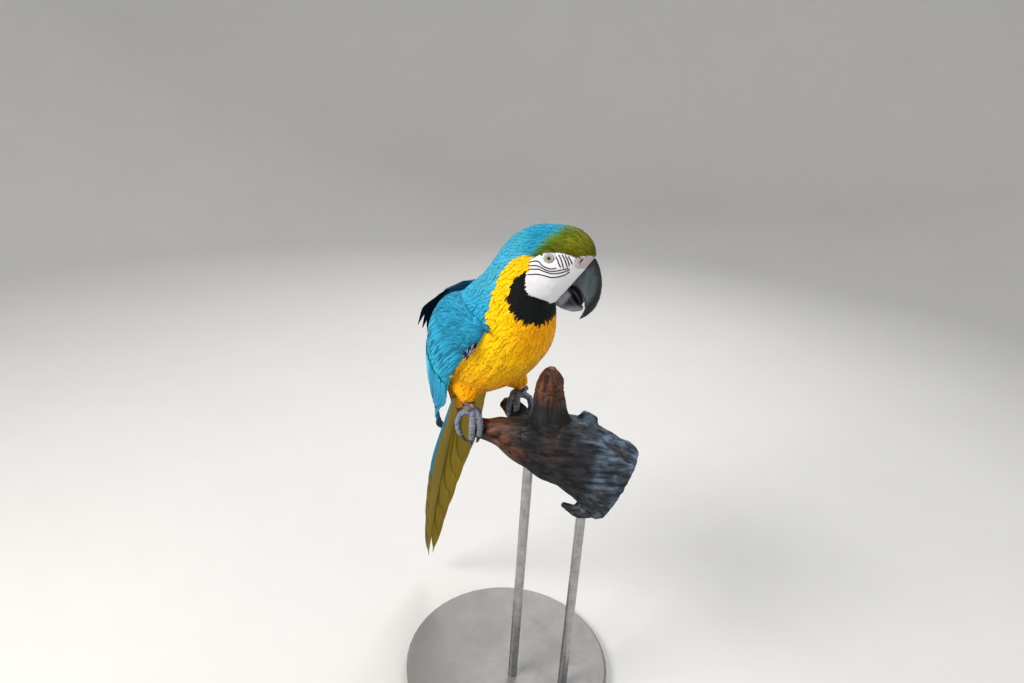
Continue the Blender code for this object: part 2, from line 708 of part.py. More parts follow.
def cylinder(name, radius, low, high, place, sides, material_name):
    bpy.ops.mesh.primitive_cylinder_add(vertices=sides, radius=radius, depth=high - low)
    made = move_to(PARTS, bpy.context.object)
    made.name = name
    made.location = (*place, (low + high) / 2)
    made.data.materials.append(material(material_name))
    return made


def make_stand(limb):
    """The base, and two rods up to the limb."""
    base = cylinder("stand_base", BASE_RADIUS, 0.0, BASE_THICKNESS, (0.0, 0.0), BASE_SIDES, "stand_board")
    edge = base.modifiers.new("Eased edge", "BEVEL")
    edge.width = BASE_BEVEL
    edge.segments = 1
    edge.limit_method = "ANGLE"
    low, high = BASE_THICKNESS + GAP, PERCH_HEIGHT - ROD_DROP
    for name, (along, across) in zip(("stand_rod_back", "stand_rod_front"), RODS):
        foot = limb_place((along, across, 0.0)) + BIRD_AT
        trim(cylinder(name, ROD_RADIUS, low, high, foot[:2], ROD_SIDES, "stand_steel"), limb)


# ---------------------------------------------------------------- legs

def make_thigh(bird, trunk, name, side, foot_at):
    """The feathered thigh, from inside the trunk down to the bare leg."""
    ankle = limb_place((side * -TARSUS[2][0], TARSUS[2][1], TARSUS[2][2]), foot_at)
    usual = Vector(THIGH[-1])
    line = []
    for k, point in enumerate(THIGH):
        share = k / (len(THIGH) - 1)
        shift = (Vector((ankle.x, ankle.y, usual.z)) - Vector((-side * usual.x, usual.y, usual.z))) * share
        line.append(Vector((-side * point[0], point[1], point[2])) + shift)
    return trim(smooth_tube(name, line, THIGH_RADII, 7, bird, "gold_plumage", 3), trunk)


def make_foot(bird, limb, thigh, side, foot_at):
    """The bare leg with its four toes, claws and ring."""
    label = "left" if side > 0 else "right"

    def place(point):
        return limb_place((-side * point[0], point[1], point[2]), foot_at)

    pieces = [tapered_tube("leg_" + label, [place(p) for p in TARSUS], TARSUS_RADII, bird, "foot_skin", 2)]
    for k, toe in enumerate(TOES):
        pieces.append(smooth_tube(f"toe_{k}", [place(p) for p in toe], TOE_RADII, 6, bird, "foot_skin", 2))
    foot = trim(union("foot_" + label, pieces), limb, thigh)
    for k, claw in enumerate(CLAWS):
        name = f"claw_{label}_{k + 1}"
        trim(smooth_tube(name, [place(p) for p in claw], CLAW_RADII, 4, bird, "claw_horn", 1), foot, limb)
    make_ring(bird, "ring_" + label, place(TARSUS[1]), place(TARSUS[2]), (limb, foot, thigh))


def make_ring(bird, name, low, high, neighbours):
    """A metal band round the leg between two points of its middle line."""
    corners = ((RING_INNER, -1), (RING_OUTER, -1), (RING_OUTER, 1), (RING_INNER, 1))
    section = bpy.data.meshes.new(name)
    edges = [(0, 1), (1, 2), (2, 3), (3, 0)]
    section.from_pydata([(radius, 0.0, end * RING_HEIGHT / 2) for radius, end in corners], edges, [])
    made = add_object(name, section, bird, "leg_ring")
    turn = made.modifiers.new("Turn", "SCREW")
    turn.steps = turn.render_steps = RING_SIDES
    turn.use_merge_vertices = True
    turn.merge_threshold = 0.00001
    way = (high - low).normalized()
    made.rotation_euler = way.to_track_quat("Z", "Y").to_euler()
    made.location = (low + high) / 2 + way * RING_RISE
    trim(made, *neighbours)


# ---------------------------------------------------------------- build

def make_all():
    bird = bpy.data.objects.new("macaw", None)
    PARTS.objects.link(bird)
    bird.location = BIRD_AT
    bpy.context.view_layer.update()
    trunk, neck, head = make_body(bird)
    make_bill(bird, head)
    make_eyes(bird, head)
    limb = make_limb(bird)
    make_stand(limb)
    thighs = {}
    for side, foot_at in ((-1, RIGHT_FOOT_AT), (1, LEFT_FOOT_AT)):
        thighs[side] = make_thigh(bird, trunk, "thigh_left" if side > 0 else "thigh_right", side, foot_at)
        make_foot(bird, limb, thighs[side], side, foot_at)
    feathers = [tail_feather(bird, side, rank) for side in (-1, 1) for rank in range(len(TAIL_LENGTHS))]
    feathers = [trim(feather, trunk) for feather in feathers]
    make_wing(bird, [trunk, neck, thighs[-1]], feathers, "wing_right", -1, 0.0)
    make_wing(bird, [trunk, neck, thighs[1]], feathers, "wing_left", 1, LEFT_WING_LIFT)


clear_scene()
PARTS = new_collection("macaw")
CUTTERS = new_collection("cutters")
CUTTERS.hide_render = True
make_all()
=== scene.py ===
"""Dresses the macaw: one skin, its feathers, bill, eyes and feet, the limb it grips and its stand.

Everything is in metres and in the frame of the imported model. The bird faces -Y with its left
side towards +X. Outlines of the markings are in millimetres in the head's own frame, whose
origin is between the eyes: (forward, up), the same on both sides.
"""
import math

import bmesh
import bpy
import numpy as np
from bpy.props import FloatProperty, FloatVectorProperty, PointerProperty
from mathutils import Matrix, Vector, noise
from mathutils.bvhtree import BVHTree
from mathutils.kdtree import KDTree


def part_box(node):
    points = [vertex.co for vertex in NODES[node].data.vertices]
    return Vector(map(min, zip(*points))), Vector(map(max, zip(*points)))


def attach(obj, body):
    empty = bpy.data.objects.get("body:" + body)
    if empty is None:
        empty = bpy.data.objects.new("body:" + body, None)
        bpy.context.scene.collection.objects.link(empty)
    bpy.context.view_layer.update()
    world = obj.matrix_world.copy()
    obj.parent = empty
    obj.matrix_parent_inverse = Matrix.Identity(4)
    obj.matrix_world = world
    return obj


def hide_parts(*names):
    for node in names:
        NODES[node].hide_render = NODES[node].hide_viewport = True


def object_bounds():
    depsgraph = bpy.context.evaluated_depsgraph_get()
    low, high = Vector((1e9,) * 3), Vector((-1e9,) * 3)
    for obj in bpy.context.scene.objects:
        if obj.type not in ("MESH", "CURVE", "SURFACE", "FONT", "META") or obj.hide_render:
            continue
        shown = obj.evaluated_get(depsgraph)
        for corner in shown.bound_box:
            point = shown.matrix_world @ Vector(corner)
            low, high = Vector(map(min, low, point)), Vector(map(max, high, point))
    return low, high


bl_info = {
    "name": "Macaw Dresser",
    "version": (1, 0, 0),
    "blender": (4, 5, 0),
    "location": "3D View > Sidebar > Macaw",
    "description": "Lays skin, feathers and finishes over the packed solids of a macaw on its perch",
    "category": "Object",
}

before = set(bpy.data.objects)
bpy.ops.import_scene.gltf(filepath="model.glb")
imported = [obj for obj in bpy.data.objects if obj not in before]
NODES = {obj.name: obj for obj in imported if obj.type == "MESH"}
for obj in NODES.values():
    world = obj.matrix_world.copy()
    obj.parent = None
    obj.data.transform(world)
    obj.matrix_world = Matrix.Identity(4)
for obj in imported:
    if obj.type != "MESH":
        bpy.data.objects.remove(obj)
CAD_BOX = [list(corner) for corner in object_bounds()]
MM = 0.001
GLASS_EASE = 0.0006  # how far the eye's front stands in from its solid
GLASS_CURVE = 0.022  # how shallow it is: twice its radius of curvature
SIDES = {"left": 1.0, "right": -1.0}
SEED = 7


def middle(node):
    low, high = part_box(node)
    return (Vector(low) + Vector(high)) / 2


# The head's frame, from its two eyes, and the point between the feet.
EYES = {side: middle("eye_" + side) for side in SIDES}
HEAD = (EYES["left"] + EYES["right"]) / 2
LEFTWARD = (EYES["left"] - EYES["right"]).normalized()
UPWARD = Vector((0.0, 0.0, 1.0))
FORWARD = LEFTWARD.cross(UPWARD).normalized()
GAZE = (0.10, 0.08)  # how far the eyes look forward and up, for each unit to the side
EYE_RADIUS = (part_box("eye_left")[1][2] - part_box("eye_left")[0][2]) / 2
FEET = HEAD - Vector((0.009, -0.066, 0.213))
CAMERA_FROM_FEET = Vector((-0.521, -0.5085, 0.3903))
LIMB_HEADING = math.radians(-47.0)  # the way the limb lies, from above; the camera looks across it
FLESH = ("head", "neck", "trunk", "thigh_left", "thigh_right", "wing_left", "wing_right")
# Where each part of the body stands in that list.
HEAD_PART, NECK_PART, TRUNK_PART = ((0,), (1,), (2,))
THIGH_PARTS, WING_PARTS = (3, 4), (5, 6)
PATCH = 0.003  # how much of the OFBake map one feather takes

# The neck's axis over the feet, and how far the neck is turned at each angle round the point
# that its sections fan out from.
NECK_AXIS = np.array((-0.008, -0.038))
FAN_CENTRE = np.array((0.039, 0.150))
FAN_ANGLES = (94.0, 109.0, 126.0, 143.0, 161.0, 180.0)
FAN_TURNS = (30.0, 28.0, 22.0, 14.0, 6.0, 0.0)

# The middle of the body from the bill to the root of the tail, as (reach, height) over the feet.
SPINE = (
    (0.064, 0.186), (0.052, 0.196), (0.036, 0.201), (0.022, 0.198), (0.010, 0.189), (0.002, 0.174),
    (-0.006, 0.154), (-0.020, 0.130), (-0.038, 0.101), (-0.057, 0.070), (-0.077, 0.040),
    (-0.093, 0.014), (-0.106, -0.012), (-0.120, -0.040),
)

# Markings in the head's frame, in millimetres.
FACE = (
    (-19, -5), (-17, -2.5), (-11, 1.5), (-5, 4.5), (1, 5.8), (8, 6), (15, 5.4), (20, 4), (25, 2.5),
    (33, 0), (40, -4), (36, -20), (24, -30), (16, -42), (9, -50), (4, -50), (0, -45), (-8, -41.5),
    (-17, -38), (-20.5, -33), (-21.5, -26), (-20.5, -17), (-17.5, -13), (-18, -9),
)
CERE = (
    (24.5, 0), (27, 2.5), (31, 3.8), (36, 4), (41, 2.6), (46, 1), (46, -12), (36, -10), (29, -9), (26, -7),
)
NOSTRIL_AT = (31.6, -1.5)
NOSTRIL_SIZE = (3.6, 1.3)  # half its length and half its width
NOSTRIL_TILT = 60.0
BROW_LINE = ((-30, -3), (-19, -2), (-11, 1.5), (-5, 4.2), (8, 5.6), (15, 5.2), (25, 2.5), (40, 1))
# Where the blue of the crown gives way to green: forward at each height.
CROWN_HEIGHTS = (-2, 2, 8, 14, 18, 25, 29)
CROWN_EDGE = (-23, -17, -12, -7.5, -2, 6, 14)
# Lines of small dark feathers over the bare face.
FACE_LINES = (
    ((-18, -5), (-12.5, -3.5), (-8.5, -4.2), (-5, -7), (0, -9), (4.5, -9.5), (9.5, -8.6)),
    ((-17.5, -8.5), (-11, -7.8), (-6, -9), (-1, -11), (4.5, -11.9), (10.5, -11), (16.5, -9.4), (21, -8.4)),
    ((-17.5, -12), (-9, -11), (-5.3, -11.8), (0.5, -13.4), (6.5, -14.2), (13.5, -13), (19, -10.8), (22, -9)),
    ((-17, -17), (-8.5, -16), (-1, -17), (5, -18), (12, -17), (17.5, -15), (22, -11.6)),
    ((6, 4.4), (8.2, 1), (10, -2.5), (11.8, -5.8)),
    ((9.2, 4.8), (11.8, 1.2), (13.6, -2.6), (15, -6.5)),
    ((12.4, 4.8), (15.2, 1.4), (17, -2.2), (18.5, -5.7)),
    ((15.6, 4.4), (17.8, 1.6), (19.4, -1.6), (20.5, -4.5)),
    ((18.6, 3.8), (20.4, 1.4), (21.8, -0.8), (22.8, -2.8)),
)
# The cutting edge of the upper bill.
BILL_EDGE = ((21, -31), (28, -34), (32, -38.5), (35, -45), (37.6, -54.5), (35.6, -62.5), (32, -70))
BILL_HEART = (18.5, -30.0)

# Markings of the neck and body with the turn of the neck taken out: (reach, height) over the feet.
THROAT = (
    (15, 200), (10, 193), (6.5, 187), (5.5, 178), (8, 168), (16, 158), (26, 150.5), (37, 144), (50, 141),
    (64, 150), (64, 180), (40, 178), (30, 176), (25, 180), (20, 188),
)
GOLD = (
    (14.4, 214.4), (8, 213.4), (2, 209.3), (-3, 201.3), (-8, 189.7), (-9.5, 181), (-9, 173), (-6, 163.5),
    (-2.7, 153.4), (-1, 140), (-3, 128), (-16, 112), (-40, 92), (-66, 66), (-86, 40), (-98, 14),
    (-100, -4), (-92, -18), (-60, -22), (20, 0), (110, 60), (110, 214),
)


# ---------------------------------------------------------------- settings

def size(name, about, value, low=0.0, high=1.0):
    return FloatProperty(name=name, description=about, default=value, min=low, max=high, unit="LENGTH")


def colour(name, about, value):
    return FloatVectorProperty(
        name=name, description=about, default=value, size=3, subtype="COLOR", min=0.0, max=1.0
    )


class MacawPlumage(bpy.types.PropertyGroup):
    """Colours and sizes of the feathers."""
    sky: colour("Back blue", "Blue of the nape, back and small wing feathers", (0.022, 0.315, 0.520))
    violet: colour("Flight blue", "Deeper blue of the long wing and tail feathers", (0.010, 0.060, 0.250))
    green: colour("Crown green", "Olive green of the forehead", (0.100, 0.135, 0.004))
    gold: colour("Gold", "Yellow of the neck and sides", (0.960, 0.540, 0.001))
    orange: colour("Orange", "Deeper gold of the breast and belly", (0.900, 0.370, 0.001))
    black: colour("Throat black", "Dark feathers of the throat and face lines", (0.006, 0.008, 0.007))
    olive: colour("Underside olive", "Golden olive under the wing and tail", (0.420, 0.290, 0.003))
    face: colour("Face", "Bare skin of the face", (0.720, 0.740, 0.770))
    blush: colour("Blush", "Pinkish skin of the cere and of the folds", (0.520, 0.450, 0.450))
    coat_depth: size("Coat depth", "How far the skin lies inside the solids", 0.0017)
    head_step: size("Head step", "Distance between feather roots on the head", 0.0023)
    neck_step: size("Neck step", "Distance between feather roots on the neck", 0.0032)
    trunk_step: size("Trunk step", "Distance between feather roots on the trunk", 0.0048)
    thigh_step: size("Thigh step", "Distance between feather roots on the thighs", 0.0036)


class MacawSkin(bpy.types.PropertyGroup):
    """Sizes of the skin, eyes and lids."""
    grain: size("Grain", "Size of the skin's faces", 0.0016)
    iris: size("Iris", "Radius of the pale iris", 0.0031)
    pupil: size("Pupil", "Radius of the pupil", 0.0016)
    lid_inner: size("Lid opening", "Radius of the opening between the lids", 0.0030)
    lid_outer: size("Lid edge", "Outer radius of the skin round the lids", 0.0068)
    lid_line: size("Lid line", "Radius of the dark line round the lids", 0.0049)
    bill_grain: size("Bill grain", "Size of the faces of the bill and feet", 0.0006)
    horn: colour("Horn", "Charcoal of the bill and claws", (0.032, 0.033, 0.037))
    foot: colour("Foot", "Grey skin of the feet", (0.240, 0.275, 0.360))


class MacawPerch(bpy.types.PropertyGroup):
    """Sizes and colours of the limb and the stand."""
    grain: size("Grain", "Size of the faces of the limb", 0.0013)
    crack_depth: size("Crack depth", "Depth of the cracks along the wood", 0.0008)
    heart: colour("Heartwood", "Reddish brown of the worn tips", (0.180, 0.055, 0.018))
    damp: colour("Damp wood", "Dark grey brown of the weathered sides", (0.014, 0.014, 0.016))
    board: colour("Board", "Paint of the base", (0.190, 0.185, 0.175))


class MacawStage(bpy.types.PropertyGroup):
    """The floor, the lights and the camera."""
    heading: FloatProperty(name="Heading", description="The way the camera looks, from above",
                           default=LIMB_HEADING, subtype="ANGLE")
    pitch: FloatProperty(name="Pitch", description="How far the camera looks down",
                         default=math.radians(22.13), subtype="ANGLE")
    roll: FloatProperty(name="Roll", description="How far the camera leans",
                        default=math.radians(3.515), subtype="ANGLE")
    lens: FloatProperty(name="Lens", description="Focal length in millimetres", default=24.0, min=8.0)
    floor_radius: size("Floor radius", "How far the floor reaches before it curves up", 2.4, high=9.0)
    floor_shade: colour("Floor", "Pale floor", (0.62, 0.61, 0.59))
    key_power: FloatProperty(name="Key power", description="Power of the main light", default=42.0,
                             unit="POWER")


# ---------------------------------------------------------------- small helpers

def flat(points):
    return np.array([tuple(p) for p in points], float)


def unit(vectors):
    return vectors / np.maximum(np.linalg.norm(vectors, axis=-1, keepdims=True), 1e-9)


def smooth_step(value, low, high):
    t = np.clip((value - low) / (high - low), 0.0, 1.0)
    return t * t * (3 - 2 * t)


def blend(a, b, amount):
    return a + (np.asarray(b) - a) * np.asarray(amount)[..., None]


def repeated(shade, count):
    return np.repeat(shade[None], count, axis=0)


def shades_of(owner, *names):
    """The named colours of a property group, as arrays."""
    return [np.array(getattr(owner, name)) for name in names]


def curve_through(points, count):
    """Points at even steps along a smooth line through the given ones."""
    table = flat(points)
    table = np.vstack([2 * table[0] - table[1], table, 2 * table[-1] - table[-2]])
    places = np.linspace(0, len(table) - 3, count)
    start = np.minimum(places.astype(int), len(table) - 4)
    t = (places - start)[:, None]
    a, b, c, d = (table[start + k] for k in range(4))
    bend, twist = 2 * a - 5 * b + 4 * c - d, 3 * b - a - 3 * c + d
    return 0.5 * (2 * b + (c - a) * t + bend * t**2 + twist * t**3)


def inside_by(places, outline):
    """How far each place lies inside a closed outline, below zero outside it."""
    corners = np.array(outline, float)
    following = np.roll(corners, -1, axis=0)
    nearest = np.full(len(places), 1e9)
    crossings = np.zeros(len(places), int)
    for a, b in zip(corners, following):
        along = b - a
        t = np.clip(((places - a) @ along) / (along @ along), 0.0, 1.0)
        nearest = np.minimum(nearest, np.linalg.norm(places - a - t[:, None] * along, axis=1))
        spans = (a[1] > places[:, 1]) != (b[1] > places[:, 1])
        reach = a[0] + (places[:, 1] - a[1]) * along[0] / (along[1] if along[1] else 1e-9)
        crossings += spans & (places[:, 0] < reach)
    return np.where(crossings % 2 == 1, nearest, -nearest)


def in_head(points):
    """Points in the head's frame: forward, up and to the left."""
    return (points - np.array(HEAD)) @ np.array([FORWARD, UPWARD, LEFTWARD]).T


def gaze(side):
    """The way one eye looks, and what lies forward of and above it."""
    look = (LEFTWARD * SIDES[side] + FORWARD * GAZE[0] + UPWARD * GAZE[1]).normalized()
    ahead = (FORWARD - look * FORWARD.dot(look)).normalized()
    return look, ahead, (UPWARD - look * UPWARD.dot(look) - ahead * UPWARD.dot(ahead)).normalized()


def eye_height(radius):
    """How far the eye's shallow front stands out from its middle, at a distance from its axis."""
    return EYE_RADIUS - GLASS_EASE - radius**2 / GLASS_CURVE


def from_head(forward, up, side):
    return HEAD + FORWARD * forward + UPWARD * up + LEFTWARD * side


def neck_turn(points):
    """How far the neck is turned at each point, in radians."""
    over = points - np.array(FEET)
    turn = np.zeros(len(points))
    for _ in range(4):
        reach = (over[:, 0] - NECK_AXIS[0]) * np.sin(turn) - (over[:, 1] - NECK_AXIS[1]) * np.cos(turn)
        fan = np.degrees(np.arctan2(over[:, 2] - FAN_CENTRE[1], reach - FAN_CENTRE[0])) % 360.0
        fan = np.where(fan > 300.0, 0.0, fan)
        turn = np.radians(np.interp(fan, FAN_ANGLES, FAN_TURNS))
    return turn


def straightened(points):
    """Points with the turn of the neck taken out: reach, height and side."""
    turn = neck_turn(points)
    x = points[:, 0] - FEET.x - NECK_AXIS[0]
    y = points[:, 1] - FEET.y - NECK_AXIS[1]
    reach = x * np.sin(turn) - y * np.cos(turn)
    side = x * np.cos(turn) + y * np.sin(turn)
    return np.stack([reach, points[:, 2] - FEET.z, side], axis=1)


def lie(points):
    """The way the feathers lie at each point: along the body, away from the bill."""
    place = straightened(points)
    line = curve_through(SPINE, 60)
    ways = unit(np.gradient(line, axis=0))
    gap = np.linalg.norm(place[:, None, :2] - line[None], axis=2)
    weight = np.exp(-((gap - gap.min(axis=1, keepdims=True)) / 0.012) ** 2)
    way = (weight @ ways) / weight.sum(axis=1, keepdims=True)
    turn = neck_turn(points)
    outward = 0.12 * np.sign(place[:, 2]) * smooth_step(np.abs(place[:, 2]), 0.0, 0.02)
    x = way[:, 0] * np.sin(turn) + outward * np.cos(turn)
    y = -way[:, 0] * np.cos(turn) + outward * np.sin(turn)
    return unit(np.stack([x, y, way[:, 1]], axis=1))


def make_object(name, mesh, *materials):
    made = bpy.data.objects.new(name, mesh)
    bpy.context.scene.collection.objects.link(made)
    for finish in materials:
        mesh.materials.append(finish)
    return made


def finish_piece(made, slot, *nodes):
    """Makes a piece ride with the model and stand for the solids that it replaces."""
    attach(made, "root")
    if nodes:
        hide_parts(*nodes)


def mesh_of(points, faces):
    mesh = bpy.data.meshes.new("mesh")
    mesh.from_pydata([tuple(p) for p in points], [], faces)
    mesh.shade_smooth()
    mesh.update()
    return mesh


def tree_of(mesh):
    """The mesh's faces, ready for rays and nearest points."""
    return BVHTree.FromPolygons([v.co for v in mesh.vertices], [tuple(f.vertices) for f in mesh.polygons])


def swollen_copy(name, node_names, swell):
    """One mesh of the named solids, each grown a little so that they overlap."""
    joined = bmesh.new()
    for node in node_names:
        part = bmesh.new()
        part.from_mesh(NODES[node].data)
        bmesh.ops.remove_doubles(part, verts=part.verts, dist=1e-6)
        part.normal_update()
        normals = [v.normal.copy() for v in part.verts]
        for vertex, normal in zip(part.verts, normals):
            vertex.co += normal * swell
        step = bpy.data.meshes.new("step")
        part.to_mesh(step)
        joined.from_mesh(step)
        bpy.data.meshes.remove(step)
        part.free()
    mesh = bpy.data.meshes.new(name)
    joined.to_mesh(mesh)
    joined.free()
    return mesh


def applied(made):
    """Turns the object's modifiers into mesh."""
    graph = bpy.context.evaluated_depsgraph_get()
    graph.update()
    mesh = bpy.data.meshes.new_from_object(made.evaluated_get(graph))
    old = made.data
    made.modifiers.clear()
    made.data = mesh
    bpy.data.meshes.remove(old)
    return made


def regrown(name, node_names, grain, smoothing, swell=0.0):
    """The solids' shape again, in small even faces."""
    made = make_object(name, swollen_copy(name, node_names, swell))
    remesh = made.modifiers.new("Remesh", "REMESH")
    remesh.mode = "VOXEL"
    remesh.voxel_size = grain
    remesh.use_smooth_shade = True
    soften = made.modifiers.new("Soften", "SMOOTH")
    soften.iterations = smoothing
    soften.factor = 0.5
    return applied(made)


def vertex_arrays(mesh):
    count = len(mesh.vertices)
    places = np.empty(count * 3)
    mesh.vertices.foreach_get("co", places)
    normals = np.empty(count * 3)
    mesh.vertex_normals.foreach_get("vector", normals)
    return places.reshape(-1, 3), normals.reshape(-1, 3)


def move_vertices(mesh, places):
    mesh.vertices.foreach_set("co", np.asarray(places, float).ravel())
    mesh.update()


def paint(mesh, name, colours):
    layer = mesh.color_attributes.new(name, "FLOAT_COLOR", "POINT")
    full = np.ones((len(colours), 4))
    full[:, :3] = colours
    layer.data.foreach_set("color", full.ravel())


def wobble(points, scale, seed=0.0):
    """Smooth noise from -1 to 1 at each point."""
    shift = Vector((seed, seed * 1.7, -seed))
    return np.array([noise.noise(Vector(p) * scale + shift) for p in points])


# ---------------------------------------------------------------- markings

def plumage_colours(points, plumage, bare_shows=True, wing=None):
    """The bird's colour at each point of its skin or root of a feather; wing is 1 on the wings."""
    head = in_head(points) / MM
    body = straightened(points) / MM
    ragged = wobble(points, 260.0) * 1.2 + wobble(points, 700.0, 3.0) * 0.6
    forward, up = head[:, 0], head[:, 1]
    on_head = smooth_step(forward, -70.0, -55.0)

    sky, violet, green, blush, bright = shades_of(plumage, "sky", "violet", "green", "blush", "gold")
    shade = blend(sky[None], violet, 0.35 * smooth_step(-body[:, 1], -120.0, 20.0))
    shade = blend(shade, sky * (2.2, 1.15, 1.0), smooth_step(-body[:, 1], -150.0, -185.0))
    shade = blend(shade, sky * (0.6, 0.85, 0.85), smooth_step(forward, -34.0, -16.0) * on_head)

    gold_in = inside_by(body[:, :2], GOLD) + ragged
    deep = np.maximum(smooth_step(body[:, 0], 14.0, 40.0), smooth_step(-body[:, 1], -110.0, -40.0))
    gold = blend(bright[None], plumage.orange, np.clip(deep, 0.0, 1.0))
    shade = blend(shade, gold, smooth_step(gold_in, -0.1, 0.1))

    above_brow = up - np.interp(forward, [p[0] for p in BROW_LINE], [p[1] for p in BROW_LINE])
    front = forward - np.interp(up, CROWN_HEIGHTS, CROWN_EDGE) + 3 * ragged
    crown = smooth_step(front, -5.0, 5.0) * smooth_step(above_brow, -2.5, -1.0) * on_head
    teal = green * (0.9, 1.9, 14.0)
    olive = blend(teal[None], green, smooth_step(front, -2.0, 12.0))
    olive = blend(olive, green * (1.7, 1.25, 1.2), smooth_step(front, 14.0, 26.0))
    olive = olive * (0.55 + 0.45 * smooth_step(above_brow, 0.0, 11.0))[:, None]
    olive = olive * (1 + 0.40 * wobble(points, 240.0, 4.0))[:, None]
    shade = blend(shade, olive, np.where(gold_in > 1.5, 0.0, crown))

    throat_in = inside_by(body[:, :2], THROAT) + ragged
    shade = blend(shade, plumage.black, smooth_step(throat_in, -0.2, 0.2))
    # The skin under the wing feathers is painted darker than they are: painted shade in the gaps between
    # them, deep navy on the far wing whose inner side shows.
    if wing is not None:
        inner = blend(sky[None] * 0.6, violet * 0.5, smooth_step(points[:, 0], 0.0, 0.02))
        shade = blend(shade, inner, wing)
    if bare_shows:
        bare = bare_mask(points)
        shade = blend(shade, plumage.face, bare)
        cere = smooth_step(inside_by(head[:, :2], CERE), -0.8, 0.8) * smooth_step(forward, 22.0, 26.0)
        shade = blend(shade, blush, cere * 0.9)
        off_slit = from_nostril(head)
        stripe = smooth_step(np.sin(off_slit * 3.4), 0.2, 0.8) * cere
        shade = blend(shade, blush * (0.50, 0.32, 0.36), stripe * 0.6)
        # Near black in the nostril: painted shade in the hole.
        shade = blend(shade, (0.02, 0.012, 0.014), smooth_step(off_slit, 1.05, 0.75) * bare)
    return shade


def from_nostril(head):
    """Distance from the middle of the nostril's slanted slit; 1 is at its rim."""
    off = head[:, :2] - np.array(NOSTRIL_AT)
    tilt = math.radians(NOSTRIL_TILT)
    along = off[:, 0] * math.cos(tilt) + off[:, 1] * math.sin(tilt)
    across = off[:, 1] * math.cos(tilt) - off[:, 0] * math.sin(tilt)
    return np.hypot(along / NOSTRIL_SIZE[0], across / NOSTRIL_SIZE[1])


def bare_mask(points):
    """1 where the skin of the face is bare, 0 under feathers."""
    head = in_head(points) / MM
    edge = wobble(points, 500.0, 5.0) * 0.5
    face = smooth_step(inside_by(head[:, :2], FACE) + edge, -0.5, 0.5)
    cere = smooth_step(inside_by(head[:, :2], CERE), -0.5, 0.5)
    return np.maximum(face, cere) * smooth_step(head[:, 0], -30.0, -24.0)


# ---------------------------------------------------------------- skin

TRIES_FOR_A_ROOT = 3.2  # random places tried for each feather that the area has room for
CLOSEST_ROOTS = 0.86  # the smallest gap between two roots, as a share of the step
SKIN_SWELL = 0.00035  # how much the solids grow so that they join into one skin
BARE_DEPTH = 0.0002  # how far the bare face lies inside the solids
MOST_OF_THICKNESS = 0.33  # how much of a thin part's thickness the coat's depth may take
NOSTRIL_DEPTH, NOSTRIL_RIM, FACE_FOLDS = 0.0014, 0.0005, 0.00022


class Surface:
    """A mesh to lay feathers on: its nearest points, smooth normals and unwrap."""

    def __init__(self, made):
        mesh = made.data
        self.places, vertex_normals = vertex_arrays(mesh)
        self.tree = tree_of(mesh)
        faces = [tuple(face.vertices) for face in mesh.polygons]
        self.corners = np.array([(f[0], f[1], f[2], f[-1]) for f in faces])
        self.normals = unit(vertex_normals[self.corners].mean(axis=1))
        self.middles = self.places[self.corners].mean(axis=1)
        self.areas = np.empty(len(mesh.polygons))
        mesh.polygons.foreach_get("area", self.areas)
        spots = np.empty(len(mesh.loops) * 2)
        mesh.uv_layers["OFBake"].data.foreach_get("uv", spots)
        starts = np.empty(len(mesh.polygons), int)
        mesh.polygons.foreach_get("loop_start", starts)
        spots = spots.reshape(-1, 2)
        self.patches = (spots[starts] + spots[starts + 2]) / 2

    def near(self, points):
        found = [self.tree.find_nearest(p) for p in points]
        faces = np.array([hit[2] for hit in found])
        return flat([hit[0] for hit in found]), self.normals[faces], faces

    def patches_at(self, points):
        """Where the bake map of the skin lies under each point."""
        return self.patches[self.near(points)[2]]

    def scatter(self, steps, seed):
        """Roots over the surface, spaced by about the step of the face they are on; 0 means none."""
        random = np.random.default_rng(seed)
        wanted = np.where(steps > 0, self.areas / np.maximum(steps, 1e-6) ** 2, 0.0)
        count = int(wanted.sum() * TRIES_FOR_A_ROOT)
        chosen = random.choice(len(wanted), size=count, p=wanted / wanted.sum())
        along, across = random.random((2, count, 1))
        a, b, c, d = (self.places[self.corners[chosen, k]] for k in range(4))
        points = (a * (1 - along) + b * along) * (1 - across) + (d * (1 - along) + c * along) * across
        tree = KDTree(count)
        for index, point in enumerate(points):
            tree.insert(point, index)
        tree.balance()
        gone = np.zeros(count, bool)
        kept = []
        for index in range(count):
            if gone[index]:
                continue
            kept.append(index)
            for _, other, _ in tree.find_range(points[index], steps[chosen[index]] * CLOSEST_ROOTS):
                gone[other] = True
        return points[kept], chosen[kept]


def nearest_nodes(points, names):
    """The name's index of the solid nearest to each point."""
    gaps = []
    for name in names:
        tree = tree_of(NODES[name].data)
        gaps.append([tree.find_nearest(p)[3] for p in points])
    return np.argmin(np.array(gaps), axis=0)


